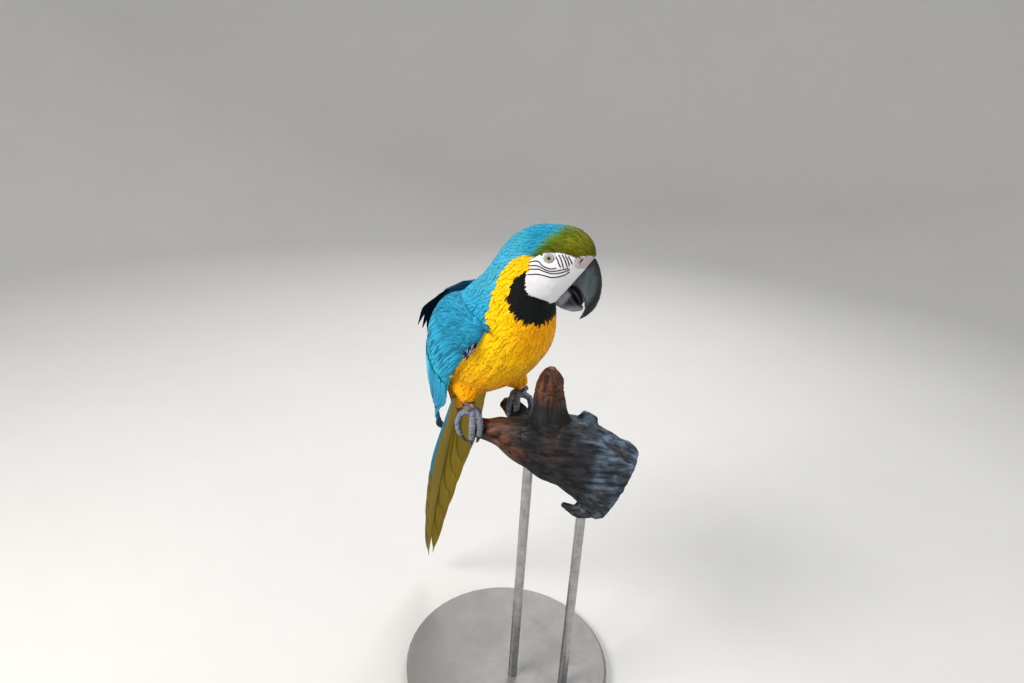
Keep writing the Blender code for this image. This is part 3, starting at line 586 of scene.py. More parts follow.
def grow_skin(plumage, skin):
    """One skin over head, neck, trunk, thighs and wings, inside them by the depth of the coat."""
    made = regrown("skin", FLESH, skin.grain, 5, SKIN_SWELL)
    mesh = made.data
    places, normals = vertex_arrays(mesh)
    tree = tree_of(mesh)
    bare = bare_mask(places)
    depth = plumage.coat_depth * (1 - bare) + BARE_DEPTH
    through = np.full(len(places), 0.05)
    for index, (place, normal) in enumerate(zip(places, normals)):
        hit = tree.ray_cast(Vector(place - normal * 0.0003), -Vector(normal), 0.02)
        if hit[0] is not None:
            through[index] = hit[3]
    depth = np.minimum(depth, MOST_OF_THICKNESS * through)
    head = in_head(places) / MM
    hole = from_nostril(head)
    depth += NOSTRIL_DEPTH * smooth_step(hole, 1.1, 0.2) * bare
    depth -= NOSTRIL_RIM * smooth_step(np.abs(hole - 1.6), 0.7, 0.0) * bare
    folds = wobble(places, 190.0, 9.0) + 0.5 * wobble(places, 420.0, 2.0)
    depth += FACE_FOLDS * folds * bare
    places = places - normals * depth[:, None]
    move_vertices(mesh, places)
    on_wing = np.isin(nearest_nodes(places, FLESH), WING_PARTS).astype(float)
    paint(mesh, "Tint", plumage_colours(places, plumage, wing=on_wing))
    paint(mesh, "Bare", np.repeat(bare[:, None], 3, axis=1))
    mesh.materials.append(skin_material())
    unwrap(made)
    finish_piece(made, "gold_plumage", *FLESH)


def unwrap(made):
    """Lays the mesh out flat on its OFBake map, from its own shape."""
    mesh = made.data
    mesh.uv_layers.new(name="OFBake")
    for other in bpy.context.selected_objects:
        other.select_set(False)
    bpy.context.view_layer.objects.active = made
    made.select_set(True)
    bpy.ops.object.mode_set(mode="EDIT")
    bpy.ops.mesh.select_all(action="SELECT")
    bpy.ops.uv.smart_project(angle_limit=math.radians(66.0), island_margin=0.004)
    bpy.ops.object.mode_set(mode="OBJECT")
    made.select_set(False)


# ---------------------------------------------------------------- feathers

# Kinds of feather: faces along and across, its outline as (share of length, share of width), and the
# thickness of those that have a face of their own below.
SMALL = {"rows": 5, "columns": 4,
         "shape": ((0, 0.34), (0.2, 0.80), (0.5, 1.0), (0.8, 0.92), (1, 0.55))}
COVERT = {"rows": 8, "columns": 6,
          "shape": ((0, 0.30), (0.15, 0.74), (0.45, 1.0), (0.72, 0.88), (0.9, 0.56), (1, 0.16))}
LONG = {"rows": 18, "columns": 8, "thickness": 0.0005,
        "shape": ((0, 0.30), (0.08, 0.70), (0.25, 0.95), (0.6, 1.0), (0.86, 0.84), (0.95, 0.56), (1, 0.22))}


COAT_CLEAR = 0.00025  # how far the roots of the coat stand clear of the skin
LINE_HALF_WIDTH, LINE_LENGTH, LINE_RISE = 0.00062, 0.0021, 0.0004  # of the feathers in the face lines
LINE_STEP = 0.45  # millimetres between their roots


class Feathers:
    """Gathers like feathers and lays them as one mesh of thin closed vanes."""

    def __init__(self, name, kind, seed):
        self.name, self.kind = name, kind
        self.random = np.random.default_rng(seed)
        self.batches = []

    def add(self, *batch, **looks):
        """Keeps a batch of feathers, whose values are those that vanes takes, for finish to lay."""
        self.batches.append((batch, looks))

    def vanes(self, spines, normals, widths, roots, tips, patches, camber=0.22, round_tip=0.10, fringe=0.05,
              edges=None, under=None):
        """Points, colours, places on the vane and places on the bake map of one batch of feathers.

        Spines and normals are one row of points to each feather. Widths are half widths, one to a
        feather or one to each point of its spine. Roots, tips, edges and under are colours: at its two
        ends, of its side margins and of its underside.
        """
        rows, columns = self.kind["rows"], self.kind["columns"]
        count = len(spines)
        t = np.linspace(0, 1, rows + 1)
        v = np.linspace(-1, 1, columns + 1)
        half = widths if widths.ndim == 2 else widths[:, None] * np.interp(t, *zip(*self.kind["shape"]))
        ways = unit(np.gradient(spines, axis=1))
        sides = unit(np.cross(normals, ways))
        lengths = np.linalg.norm(np.diff(spines, axis=1), axis=2).sum(axis=1)
        lead = t**4
        pull = -lengths[:, None, None] * round_tip * lead[None, :, None] * (v**2)[None, None, :]
        ragged = self.random.uniform(-1, 1, (count, 1, columns + 1)) * fringe * lengths[:, None, None]
        pull = pull + ragged * lead[None, :, None]
        points = spines[:, :, None, :] + sides[:, :, None, :] * (half[:, :, None] * v)[..., None]
        drop = camber * half[:, :, None] * (v**2)[None, None, :]
        points = points - normals[:, :, None, :] * drop[..., None] + ways[:, :, None, :] * pull[..., None]
        thickness = self.kind.get("thickness", 0.0)
        lower = points - normals[:, :, None, :] * (thickness * (1 - 0.7 * v**2))[None, None, :, None]
        points = points.reshape(count, -1, 3)
        shades = blend(roots[:, None, :], tips[:, None, :], np.broadcast_to(t**1.5, (count, rows + 1)))
        shades = np.repeat(shades[:, :, None, :], columns + 1, axis=2)
        if edges is not None:
            margins = smooth_step(np.abs(v), 0.45, 1.0)[None] * (1 - 0.85 * t[:, None] ** 3)
            shades = blend(shades, edges[:, None, None, :], np.broadcast_to(margins, shades.shape[:3]))
        shades = shades.reshape(count, -1, 3)
        vane_spots = np.stack(np.meshgrid((v + 1) / 2, t), axis=-1).reshape(1, -1, 2)
        if thickness:
            points = np.concatenate([points, lower.reshape(count, -1, 3)], axis=1)
            if under.ndim == 2:
                under = np.repeat(under[:, None], columns + 1, axis=1)
            below = np.tile(under, (1, rows + 1, 1)) * np.repeat(1 - 0.35 * t, columns + 1)[:, None]
            shades = np.concatenate([shades, below], axis=1)
            vane_spots = np.concatenate([vane_spots, vane_spots], axis=1)
        spots = patches[:, None, :] + (vane_spots - 0.5) * PATCH
        return points, shades, np.broadcast_to(vane_spots, (count, *vane_spots.shape[1:])), spots

    def faces(self):
        """Corner numbers of one vane: its top, then its underside and ends."""
        rows, columns = self.kind["rows"], self.kind["columns"]
        wide = columns + 1
        top = [(r * wide + c, r * wide + c + 1, (r + 1) * wide + c + 1, (r + 1) * wide + c)
               for r in range(rows) for c in range(columns)]
        if "thickness" in self.kind:
            below = (rows + 1) * wide
            under = [tuple(below + k for k in reversed(face)) for face in top]
            rim = list(range(wide)) + [r * wide + columns for r in range(1, rows + 1)]
            rim += [rows * wide + c for c in range(columns - 1, -1, -1)]
            rim += [r * wide for r in range(rows - 1, 0, -1)]
            sides = [(a, below + a, below + b, b) for a, b in zip(rim, rim[1:] + rim[:1])]
            return top + under, sides
        under = [((r + 1) * wide, (r + 1) * wide + columns, r * wide + columns, r * wide)
                 for r in range(rows)]
        ends = [tuple(range(wide))[::-1], tuple(rows * wide + c for c in range(wide))]
        return top, under + ends

    def finish(self, material, slot, *nodes):
        parts = [self.vanes(*batch, **looks) for batch, looks in self.batches]
        points, shades, vane_spots, spots = (np.concatenate([p[k] for p in parts]) for k in range(4))
        count, per = points.shape[:2]
        top, rest = self.faces()
        corners = np.concatenate([np.array(face)[::-1] for face in top + rest])
        sizes = np.array([len(face) for face in top + rest])
        all_corners = (corners[None] + (np.arange(count) * per)[:, None]).ravel()
        starts = np.concatenate([[0], np.cumsum(np.tile(sizes, count))[:-1]])
        mesh = bpy.data.meshes.new(self.name)
        mesh.vertices.add(count * per)
        mesh.vertices.foreach_set("co", points.ravel())
        mesh.loops.add(len(all_corners))
        mesh.loops.foreach_set("vertex_index", all_corners)
        mesh.polygons.add(len(starts))
        mesh.polygons.foreach_set("loop_start", starts)
        smooth = np.array([True] * len(top) + [False] * len(rest))
        mesh.polygons.foreach_set("use_smooth", np.tile(smooth, count))
        for name, values in (("OFBake", spots), ("Vane", vane_spots)):
            layer = mesh.uv_layers.new(name=name)
            layer.data.foreach_set("uv", values.reshape(-1, 2)[all_corners].ravel())
        paint(mesh, "Tint", shades.reshape(-1, 3))
        mesh.update(calc_edges=True)
        mesh.validate()
        finish_piece(make_object(self.name, mesh, material), slot, *nodes)


def march(surface, roots, lengths, rise, clear, random, spread, ways=None):
    """Spines that start at the roots and follow the lie over the surface, rising to their tips."""
    rows = SMALL["rows"]
    places, normals, faces = surface.near(roots)
    spines, ups = [places], [normals]
    turn = random.normal(0.0, spread, len(roots))
    for _ in range(rows):
        way = ways if ways is not None else lie(places)
        way = unit(way - normals * (way * normals).sum(axis=1, keepdims=True))
        side = np.cross(normals, way)
        way = way * np.cos(turn)[:, None] + side * np.sin(turn)[:, None]
        places, normals, _ = surface.near(places + way * (lengths / rows)[:, None])
        spines.append(places)
        ups.append(normals)
    spines, ups = np.stack(spines, axis=1), np.stack(ups, axis=1)
    t = np.linspace(0, 1, rows + 1)
    lift = rise[:, None] * (0.25 * t + 0.75 * t**2)[None] + clear
    return spines + ups * lift[..., None], ups, surface.patches[faces]


def lay_coat(name, surface, steps, plumage, seed, reach, width, rise, spread):
    """Small feathers over part of the skin, sized by the steps between them."""
    random = np.random.default_rng(seed)
    roots, chosen = surface.scatter(steps, seed)
    step = steps[chosen]
    lengths = step * reach * random.uniform(0.88, 1.14, len(roots))
    roots_at = roots - lie(roots) * (lengths * 0.3)[:, None]
    spines, ups, patches = march(surface, roots_at, lengths, step * rise, COAT_CLEAR, random, spread)
    base = plumage_colours(roots, plumage, bare_shows=False)
    base = base * (1 + random.normal(0.0, 0.05, (len(base), 1)))
    coat = Feathers(name, SMALL, seed)
    coat.add(spines, ups, step * width * random.uniform(0.9, 1.12, len(roots)), base * 0.96, base * 1.06,
             patches, camber=0.04)
    return coat


# ---------------------------------------------------------------- materials

def new_material(name):
    made = bpy.data.materials.new(name)
    made.use_nodes = True
    return made, made.node_tree, made.node_tree.nodes["Principled BSDF"]


def set_inputs(tree, node, inputs):
    """Links each named input to a socket, or sets it to a constant."""
    for key, value in inputs.items():
        if isinstance(value, bpy.types.NodeSocket):
            tree.links.new(value, node.inputs[key])
        else:
            node.inputs[key].default_value = value


def add_node(tree, kind, inputs=None, **settings):
    made = tree.nodes.new(kind)
    for key, value in settings.items():
        setattr(made, key, value)
    set_inputs(tree, made, inputs or {})
    return made


def calc(tree, operation, a, b=0.0):
    return add_node(tree, "ShaderNodeMath", {0: a, 1: b}, operation=operation).outputs[0]


def vector_calc(tree, operation, a, b):
    return add_node(tree, "ShaderNodeVectorMath", {0: a, 1: b}, operation=operation).outputs


def scaled(tree, shade, factor):
    return add_node(tree, "ShaderNodeVectorMath", {0: shade, "Scale": factor}, operation="SCALE").outputs[0]


def painted(tree, name):
    """The colours painted on the mesh under a name."""
    return add_node(tree, "ShaderNodeVertexColor", layer_name=name).outputs[0]


def mixed(tree, amount, a, b, way="MIX"):
    made = add_node(tree, "ShaderNodeMix", {0: amount, 6: a, 7: b}, data_type="RGBA", blend_type=way)
    return made.outputs[2]


def ramp(tree, value, *stops):
    made = add_node(tree, "ShaderNodeValToRGB", {0: value})
    points = made.color_ramp.elements
    while len(points) < len(stops):
        points.new(0.5)
    for point, (place, shade) in zip(points, stops):
        point.position = place
        point.color = (shade, shade, shade, 1.0) if isinstance(shade, (int, float)) else (*shade, 1.0)
    return made.outputs[0]


def noise_value(tree, where, scale, detail=3.0, stretch=None):
    if stretch:
        where = add_node(tree, "ShaderNodeMapping", {"Vector": where, "Scale": stretch}).outputs[0]
    made = add_node(tree, "ShaderNodeTexNoise", {"Vector": where, "Scale": scale, "Detail": detail})
    return made.outputs["Fac"]


def place_of(tree):
    return add_node(tree, "ShaderNodeTexCoord").outputs["Object"]


def set_bump(tree, shader, height, strength, distance):
    bump = add_node(tree, "ShaderNodeBump", {"Height": height, "Strength": strength, "Distance": distance})
    tree.links.new(bump.outputs[0], shader.inputs["Normal"])


def group(name, inputs, outputs):
    """A new node group with named sockets, and its two end nodes."""
    tree = bpy.data.node_groups.new(name, "ShaderNodeTree")
    for label, kind, value in inputs:
        socket = tree.interface.new_socket(name=label, in_out="INPUT", socket_type="NodeSocket" + kind)
        socket.default_value = value
    for label, kind in outputs:
        tree.interface.new_socket(name=label, in_out="OUTPUT", socket_type="NodeSocket" + kind)
    return tree, tree.nodes.new("NodeGroupInput"), tree.nodes.new("NodeGroupOutput")


def use_group(tree, name, inputs):
    return add_node(tree, "ShaderNodeGroup", inputs, node_tree=bpy.data.node_groups[name]).outputs


def mottled(tree, first, second, scale, amount):
    """Colour and height of uneven staining between two colours."""
    ends = [shade if isinstance(shade, bpy.types.NodeSocket) else (*shade, 1) for shade in (first, second)]
    made = use_group(tree, "Mottle", {"First": ends[0], "Second": ends[1], "Scale": scale, "Amount": amount})
    return made["Color"], made["Height"]


def make_barb_group():
    """Fine barbs slanting out from a feather's shaft, and the shaft itself, over its Vane map."""
    tree, start, end = group(
        "Barbs",
        (("Tint", "Color", (1, 1, 1, 1)), ("Depth", "Float", 0.35), ("Barbs", "Float", 34.0),
         ("Shaft", "Float", 0.5), ("Shaft width", "Float", 0.06)),
        (("Color", "Color"), ("Height", "Float")),
    )
    spot = add_node(tree, "ShaderNodeUVMap", uv_map="Vane").outputs[0]
    parts = add_node(tree, "ShaderNodeSeparateXYZ", {0: spot})
    off = calc(tree, "ABSOLUTE", calc(tree, "SUBTRACT", parts.outputs[0], 0.5))
    slant = calc(tree, "SUBTRACT", parts.outputs[1], calc(tree, "MULTIPLY", off, 0.55))
    grain = noise_value(tree, place_of(tree), 420.0, 2.0)
    waver = calc(tree, "ADD", slant, calc(tree, "MULTIPLY", grain, 0.05))
    turns = calc(tree, "MULTIPLY", start.outputs["Barbs"], 6.283)
    wave = calc(tree, "SINE", calc(tree, "MULTIPLY", waver, turns))
    barbs = calc(tree, "ADD", calc(tree, "MULTIPLY", wave, 0.5), 0.5)
    shade = calc(tree, "SUBTRACT", 1.0, calc(tree, "MULTIPLY", barbs, start.outputs["Depth"]))
    thin = calc(tree, "MULTIPLY", noise_value(tree, place_of(tree), 160.0), 0.12)
    gaps = calc(tree, "SUBTRACT", 1.0, thin)
    lit = scaled(tree, scaled(tree, start.outputs["Tint"], calc(tree, "MULTIPLY", shade, gaps)), 1.15)
    on_shaft = calc(tree, "LESS_THAN", off, start.outputs["Shaft width"])
    shaft = calc(tree, "MULTIPLY", on_shaft, start.outputs["Shaft"])
    pale = mixed(tree, 0.35, lit, (0.9, 0.86, 0.8, 1), "SOFT_LIGHT")
    set_inputs(tree, end, {"Color": mixed(tree, shaft, lit, pale),
                           "Height": calc(tree, "ADD", barbs, calc(tree, "MULTIPLY", shaft, 2.0))})


def make_mottle_group():
    """Uneven staining: two sizes of noise between two colours."""
    tree, start, end = group(
        "Mottle",
        (("First", "Color", (1, 1, 1, 1)), ("Second", "Color", (0, 0, 0, 1)), ("Scale", "Float", 60.0),
         ("Amount", "Float", 0.5)),
        (("Color", "Color"), ("Height", "Float")),
    )
    where, scale = place_of(tree), start.outputs["Scale"]
    broad = noise_value(tree, where, scale, 4.0)
    fine = noise_value(tree, where, calc(tree, "MULTIPLY", scale, 5.0), 3.0)
    both = calc(tree, "ADD", calc(tree, "MULTIPLY", broad, 0.65), calc(tree, "MULTIPLY", fine, 0.35))
    spread = ramp(tree, both, (0.36, 0.0), (0.64, 1.0))
    amount = calc(tree, "MULTIPLY", spread, start.outputs["Amount"])
    set_inputs(tree, end, {"Color": mixed(tree, amount, start.outputs["First"], start.outputs["Second"]),
                           "Height": both})


def feather_material(name, depth, barbs, shaft, roughness, bump):
    made, tree, shader = new_material(name)
    vane = use_group(tree, "Barbs", {"Tint": painted(tree, "Tint"), "Depth": depth, "Barbs": barbs,
                                     "Shaft": shaft})
    set_bump(tree, shader, vane["Height"], bump, 0.0002)
    set_inputs(tree, shader, {"Base Color": vane["Color"], "Roughness": roughness, "Sheen Weight": 0.02,
                              "Sheen Roughness": 0.45, "Specular IOR Level": 0.08})
    return made


def skin_material():
    """Bare skin with pores, folds and blotches on the face, and soft down under the coat."""
    made, tree, shader = new_material("bare_and_down")
    where, tint = place_of(tree), painted(tree, "Tint")
    pores = add_node(tree, "ShaderNodeTexVoronoi", {"Vector": where, "Scale": 900.0}).outputs["Distance"]
    folds = noise_value(tree, where, 330.0, 4.0)
    blotch = ramp(tree, noise_value(tree, where, 140.0), (0.35, (1.0, 0.93, 0.92)), (0.65, (1, 1, 1)))
    down = ramp(tree, noise_value(tree, where, 900.0), (0.3, 0.8), (0.7, 1.0))
    face = mixed(tree, 1.0, tint, blotch, "MULTIPLY")
    under = mixed(tree, 1.0, tint, down, "MULTIPLY")
    set_bump(tree, shader, calc(tree, "ADD", calc(tree, "MULTIPLY", pores, 0.4), folds), 0.5, 0.0004)
    set_inputs(tree, shader, {"Base Color": mixed(tree, painted(tree, "Bare"), under, face),
                              "Roughness": 0.58, "Specular IOR Level": 0.2, "Subsurface Weight": 0.06,
                              "Subsurface Scale": 0.002})
    return made


def horn_material(name, shade=None, streaks=1.0):
    """Layered horn with worn pale streaks and a satin surface, in one shade or else as painted."""
    made, tree, shader = new_material(name)
    where = place_of(tree)
    if shade is None:
        first = painted(tree, "Tint")
        worn, pale = scaled(tree, first, 1.9), scaled(tree, first, 2.8)
    else:
        first = shade
        worn = tuple(min(1.0, c * 3.4 + 0.03) for c in shade)
        pale = (*(min(1.0, c * 5.0 + 0.06) for c in shade), 1)
    stained, height = mottled(tree, first, worn, 85.0, 0.55 * streaks)
    scratches = ramp(tree, noise_value(tree, where, 160.0, 3.0, (1.0, 1.0, 0.16)), (0.52, 0.0), (0.72, 1.0))
    layers = noise_value(tree, where, 260.0, 5.0, (1.0, 1.0, 0.3))
    set_bump(tree, shader, calc(tree, "ADD", layers, height), 0.35, 0.0004)
    scored = mixed(tree, calc(tree, "MULTIPLY", scratches, 0.42 * streaks), stained, pale)
    set_inputs(tree, shader, {"Base Color": scored, "Specular IOR Level": 0.3, "Coat Weight": 0.06,
                              "Coat Roughness": 0.3,
                              "Roughness": ramp(tree, layers, (0.3, 0.34), (0.7, 0.52))})
    return made


def eye_material(side, skin):
    """Pale iris with fine spokes round a dark pupil, under a wet clear coat."""
    made, tree, shader = new_material("eye_" + side)
    where = place_of(tree)
    look, ahead, above = gaze(side)
    off = vector_calc(tree, "SUBTRACT", where, EYES[side] + look * EYE_RADIUS)[0]
    along, forward, up = (vector_calc(tree, "DOT_PRODUCT", off, way)["Value"]
                          for way in (look, ahead, above))
    across = calc(tree, "SQRT", calc(tree, "ADD", calc(tree, "MULTIPLY", forward, forward),
                                     calc(tree, "MULTIPLY", up, up)))
    turn = calc(tree, "ARCTAN2", up, forward)
    spokes = add_node(tree, "ShaderNodeCombineXYZ", {0: calc(tree, "MULTIPLY", turn, 9.0),
                                                     1: calc(tree, "MULTIPLY", across, 300.0)}).outputs[0]
    fibre = noise_value(tree, spokes, 1.6, 3.0)
    edge = skin.pupil / skin.iris
    rings = ramp(tree, calc(tree, "DIVIDE", across, skin.iris),
                 (edge * 0.98, (0.002, 0.002, 0.002)), (edge * 1.04, (0.30, 0.27, 0.12)),
                 (edge * 1.35, (0.50, 0.47, 0.26)), (0.88, (0.66, 0.64, 0.46)), (0.97, (0.10, 0.10, 0.09)),
                 (1.0, (0.03, 0.03, 0.03)))
    streaked = mixed(tree, calc(tree, "MULTIPLY", fibre, 0.5), rings, (0.22, 0.18, 0.08, 1), "MULTIPLY")
    behind = calc(tree, "LESS_THAN", along, -EYE_RADIUS)
    set_inputs(tree, shader, {"Base Color": mixed(tree, behind, streaked, (0.2, 0.1, 0.08, 1)),
                              "Roughness": 0.12, "Coat Weight": 1.0, "Coat Roughness": 0.02})
    return made


def lid_material():
    """Creased skin in its painted colours."""
    made, tree, shader = new_material("lid")
    creases = noise_value(tree, place_of(tree), 700.0, 4.0)
    tone = ramp(tree, creases, (0.35, 0.88), (0.65, 1.0))
    set_bump(tree, shader, creases, 0.3, 0.0001)
    set_inputs(tree, shader, {"Base Color": mixed(tree, 1.0, painted(tree, "Tint"), tone, "MULTIPLY"),
                              "Roughness": 0.5, "Specular IOR Level": 0.2})
    return made


def foot_material(shade):
    """Small dry scales with darker cracks between them."""
    made, tree, shader = new_material("foot_scales")
    scales = add_node(tree, "ShaderNodeTexVoronoi",
                      {"Vector": place_of(tree), "Scale": 560.0, "Randomness": 0.8}).outputs["Distance"]
    crack = ramp(tree, scales, (0.0, 1.0), (0.75, 0.25))
    stained, _ = mottled(tree, shade, [min(1.0, c * 1.6) for c in shade], 120.0, 0.7)
    set_bump(tree, shader, crack, 0.7, 0.0005)
    set_inputs(tree, shader, {"Base Color": mixed(tree, 1.0, stained, crack, "MULTIPLY"), "Roughness": 0.62})
    return made


PAINTED_SHEEN = (0.110, 0.160, 0.220)  # blue grey of painted sheen: highlights painted on the limb's far side


def wood_material(perch, along):
    """Weathered dark grey brown wood: fibres along the limb, dark cracks, worn reddish tips, blue grey
    patches of painted sheen on the far side and painted shade in the hollow.
    """
    made, tree, shader = new_material("weathered_wood")
    where = place_of(tree)
    turn = math.atan2(along.y, along.x)
    turned = add_node(tree, "ShaderNodeMapping", {"Vector": where, "Rotation": (0.0, 0.0, -turn)}).outputs[0]
    level = noise_value(tree, turned, 220.0, 6.0, (0.10, 1.0, 1.0))
    upright = noise_value(tree, turned, 220.0, 6.0, (1.0, 1.0, 0.10))
    tall = ramp(tree, add_node(tree, "ShaderNodeSeparateXYZ", {0: where}).outputs[2],
                (FEET.z + 0.018, 0.0), (FEET.z + 0.036, 1.0))
    fibre = mixed(tree, tall, level, upright)
    broad = noise_value(tree, where, 26.0, 5.0)
    # The painted mask carries real wear in red, painted sheen in green and painted shade in blue.
    wear, far, hollow_shade = add_node(tree, "ShaderNodeSeparateColor", {0: painted(tree, "WearSheenShade")}).outputs
    red = calc(tree, "MULTIPLY", wear, ramp(tree, broad, (0.3, 0.35), (0.6, 1.0)))
    base = mixed(tree, red, (*perch.damp, 1), (*perch.heart, 1))
    # Blue grey patches on the far side: painted sheen.
    patches = ramp(tree, noise_value(tree, where, 60.0, 6.0), (0.42, 0.15), (0.62, 1.0))
    base = mixed(tree, calc(tree, "MULTIPLY", patches, far), base, (*PAINTED_SHEEN, 1))
    # Near black in the hollow: painted shade.
    base = mixed(tree, hollow_shade, base, (0.004, 0.004, 0.005, 1))
    streak = ramp(tree, fibre, (0.36, 0.15), (0.50, 0.75), (0.70, 1.7))
    set_bump(tree, shader, calc(tree, "ADD", fibre, calc(tree, "MULTIPLY", broad, 0.5)), 0.75, 0.0012)
    set_inputs(tree, shader, {"Base Color": mixed(tree, 1.0, base, streak, "MULTIPLY"),
                              "Roughness": ramp(tree, broad, (0.35, 0.42), (0.62, 0.85)),
                              "Specular IOR Level": 0.2})
    return made


def metal_material(name, shade, scale, roughness):
    """Worn metal: fine turning marks and dulled patches."""
    made, tree, shader = new_material(name)
    stained, _ = mottled(tree, shade, [c * 0.45 for c in shade], scale, 0.6)
    marks = noise_value(tree, place_of(tree), scale * 8, 2.0, (0.12, 0.12, 1.0))
    set_bump(tree, shader, marks, 0.12, 0.0001)
    rough = ramp(tree, marks, (0.3, roughness * 0.8), (0.7, roughness * 1.35))
    set_inputs(tree, shader, {"Base Color": stained, "Metallic": 1.0, "Roughness": rough})
    return made


def board_material(perch):
    """Satin paint with a faint orange peel and a little rubbing."""
    made, tree, shader = new_material("painted_board")
    stained, height = mottled(tree, perch.board, [c * 0.78 for c in perch.board], 22.0, 0.5)
    set_bump(tree, shader, noise_value(tree, place_of(tree), 900.0, 2.0), 0.10, 0.0002)
    rough = ramp(tree, height, (0.3, 0.36), (0.7, 0.5))
    set_inputs(tree, shader, {"Base Color": stained, "Roughness": rough})
    return made


def floor_material(shade):
    made, tree, shader = new_material("floor")
    stained, _ = mottled(tree, shade, [c * 0.95 for c in shade], 3.0, 0.6)
    set_inputs(tree, shader, {"Base Color": stained, "Roughness": 0.85})
    return made


# ---------------------------------------------------------------- coat

# Parts of the coat: the solids they grow over, the name of the step between their roots, and their
# feathers' length, half width and rise of the tip in steps, and spread of direction in radians.
COATS = (
    ("coat_head", HEAD_PART, "head_step", 3.2, 0.54, 0.22, 0.12),
    ("coat_neck", NECK_PART, "neck_step", 3.7, 0.60, 0.07, 0.06),
    ("coat_trunk", TRUNK_PART, "trunk_step", 4.0, 0.66, 0.04, 0.05),
    ("coat_thighs", THIGH_PARTS, "thigh_step", 3.8, 0.58, 0.08, 0.10),
)


def dress_body(plumage):
    """The coat of the head, neck, trunk and thighs."""
    surface = Surface(bpy.data.objects["skin"])
    owner = nearest_nodes(surface.middles, FLESH)
    feathered = bare_mask(surface.middles) < 0.5
    finish = feather_material("small_feathers", 0.20, 7.0, 0.0, 0.66, 0.25)
    head = in_head(surface.middles) / MM
    near_face = smooth_step(inside_by(head[:, :2], FACE), -10.0, 0.0) * np.isin(owner, HEAD_PART)
    throat = smooth_step(inside_by(straightened(surface.middles)[:, :2] / MM, THROAT), -3.0, 1.0)
    for number, (name, parts, step, *shape) in enumerate(COATS):
        steps = np.where(np.isin(owner, parts) & feathered, getattr(plumage, step), 0.0)
        steps = steps * (1 - 0.25 * near_face) * (1 - 0.35 * throat)
        lay_coat(name, surface, steps, plumage, SEED + number, *shape).finish(finish, "gold_plumage")


WING_AXIS = (
    (-0.008, 0.1395), (-0.0235, 0.1255), (-0.0405, 0.1025), (-0.060, 0.070), (-0.0805, 0.040),
    (-0.101, 0.010), (-0.1235, -0.022), (-0.145, -0.056), (-0.163, -0.091),
)
NECK_HEIGHT, NECK_LEAN = 0.156, -0.008
TAIL_FROM_Y, TAIL_SWING = 0.060, 0.55
WING_FAN = np.radians(np.arange(-44.0, 134.0, 2.0))  # angles round the axis that the chart looks from
CHART_FROM, CHART_REACH = 0.13, 0.128  # where its rays start, out from the axis, and how far they go


class WingChart:
    """The outer side of a folded wing as a grid: along from shoulder to tip, across from back to front."""

    def __init__(self, side, rows=44, columns=21):
        trees = [tree_of(NODES[node].data) for node in ("wing_" + side, f"wing_{side}_primaries")]
        axis = curve_through(WING_AXIS, rows)
        ways = unit(np.gradient(axis, axis=0))
        grid = []
        for (reach, height), way in zip(axis, ways):
            y = NECK_AXIS[1] - reach
            x = NECK_LEAN * min(max(height / NECK_HEIGHT, 0.0), 1.0) + TAIL_SWING * max(0.0, y - TAIL_FROM_Y)
            centre = FEET + Vector((x, y, height))
            back = Vector((0.0, way[1], way[0]))
            back = back if back.z + back.y > 0 else -back
            found = []
            for angle in WING_FAN:
                out = back * math.cos(angle) + Vector((SIDES[side], 0.0, 0.0)) * math.sin(angle)
                hits = [tree.ray_cast(centre + out * CHART_FROM, -out, CHART_REACH)[0] for tree in trees]
                hit = hits[0] or hits[1]
                if hit is not None:
                    found.append(hit)
            grid.append(found)
        good = [k for k, found in enumerate(grid) if len(found) >= 5]
        places = np.array([self.even(flat(grid[k]), columns) for k in good])
        for _ in range(2):
            places[1:-1] = (places[:-2] + 2 * places[1:-1] + places[2:]) / 4
        self.places = places
        along = np.gradient(places, axis=0)
        across = np.gradient(places, axis=1)
        normals = unit(np.cross(along, across))
        outward = places - places.mean(axis=(0, 1)) + np.array((0.0, 0.04, 0.0))
        outward[..., 0] += 0.05 * SIDES[side]
        self.normals = normals * np.sign((normals * outward).sum(axis=2).mean())
        self.length = np.linalg.norm(np.diff(places, axis=0), axis=2).sum(axis=0).mean()

    @staticmethod
    def even(points, count):
        """The line through the points, in even steps."""
        run = np.concatenate([[0.0], np.cumsum(np.linalg.norm(np.diff(points, axis=0), axis=1))])
        at = np.linspace(0.0, run[-1], count)
        return np.stack([np.interp(at, run, points[:, k]) for k in range(3)], axis=1)

    def at(self, along, across):
        """Places and normals at shares along and across, carried on straight past the edges."""
        rows, columns = self.places.shape[:2]
        u, v = np.asarray(along) * (rows - 1), np.asarray(across) * (columns - 1)
        i = np.clip(np.floor(u).astype(int), 0, rows - 2)
        j = np.clip(np.floor(v).astype(int), 0, columns - 2)
        a, b = (u - i)[..., None], (v - j)[..., None]
        p = self.places
        near, far = p[i, j] * (1 - a) + p[i + 1, j] * a, p[i, j + 1] * (1 - a) + p[i + 1, j + 1] * a
        return near * (1 - b) + far * b, self.normals[i, j]


# Rows of wing feathers: first and last share along, rows, feathers in a row, the span across that they
# fill, length, half width, rise of the tip, and how far the root lies inside the solid.
WING_ROWS = (
    ("primary", 0.56, 0.68, 1, 9, (0.40, 0.96), 0.100, 0.0060, 0.0006, 0.0004),
    ("secondary", 0.34, 0.44, 1, 19, (0.02, 0.95), 0.128, 0.0062, 0.0012, 0.0006),
    ("tertial", 0.24, 0.36, 1, 7, (0.01, 0.38), 0.095, 0.0080, 0.0022, 0.0002),
    ("greater", 0.26, 0.38, 2, 27, (0.01, 0.97), 0.084, 0.0036, 0.0012, 0.0007),
    ("median", 0.12, 0.22, 3, 30, (0.00, 0.97), 0.062, 0.0029, 0.0010, 0.0008),
    ("lesser", -0.03, 0.12, 8, 32, (0.00, 0.97), 0.034, 0.0025, 0.0007, 0.0007),
)
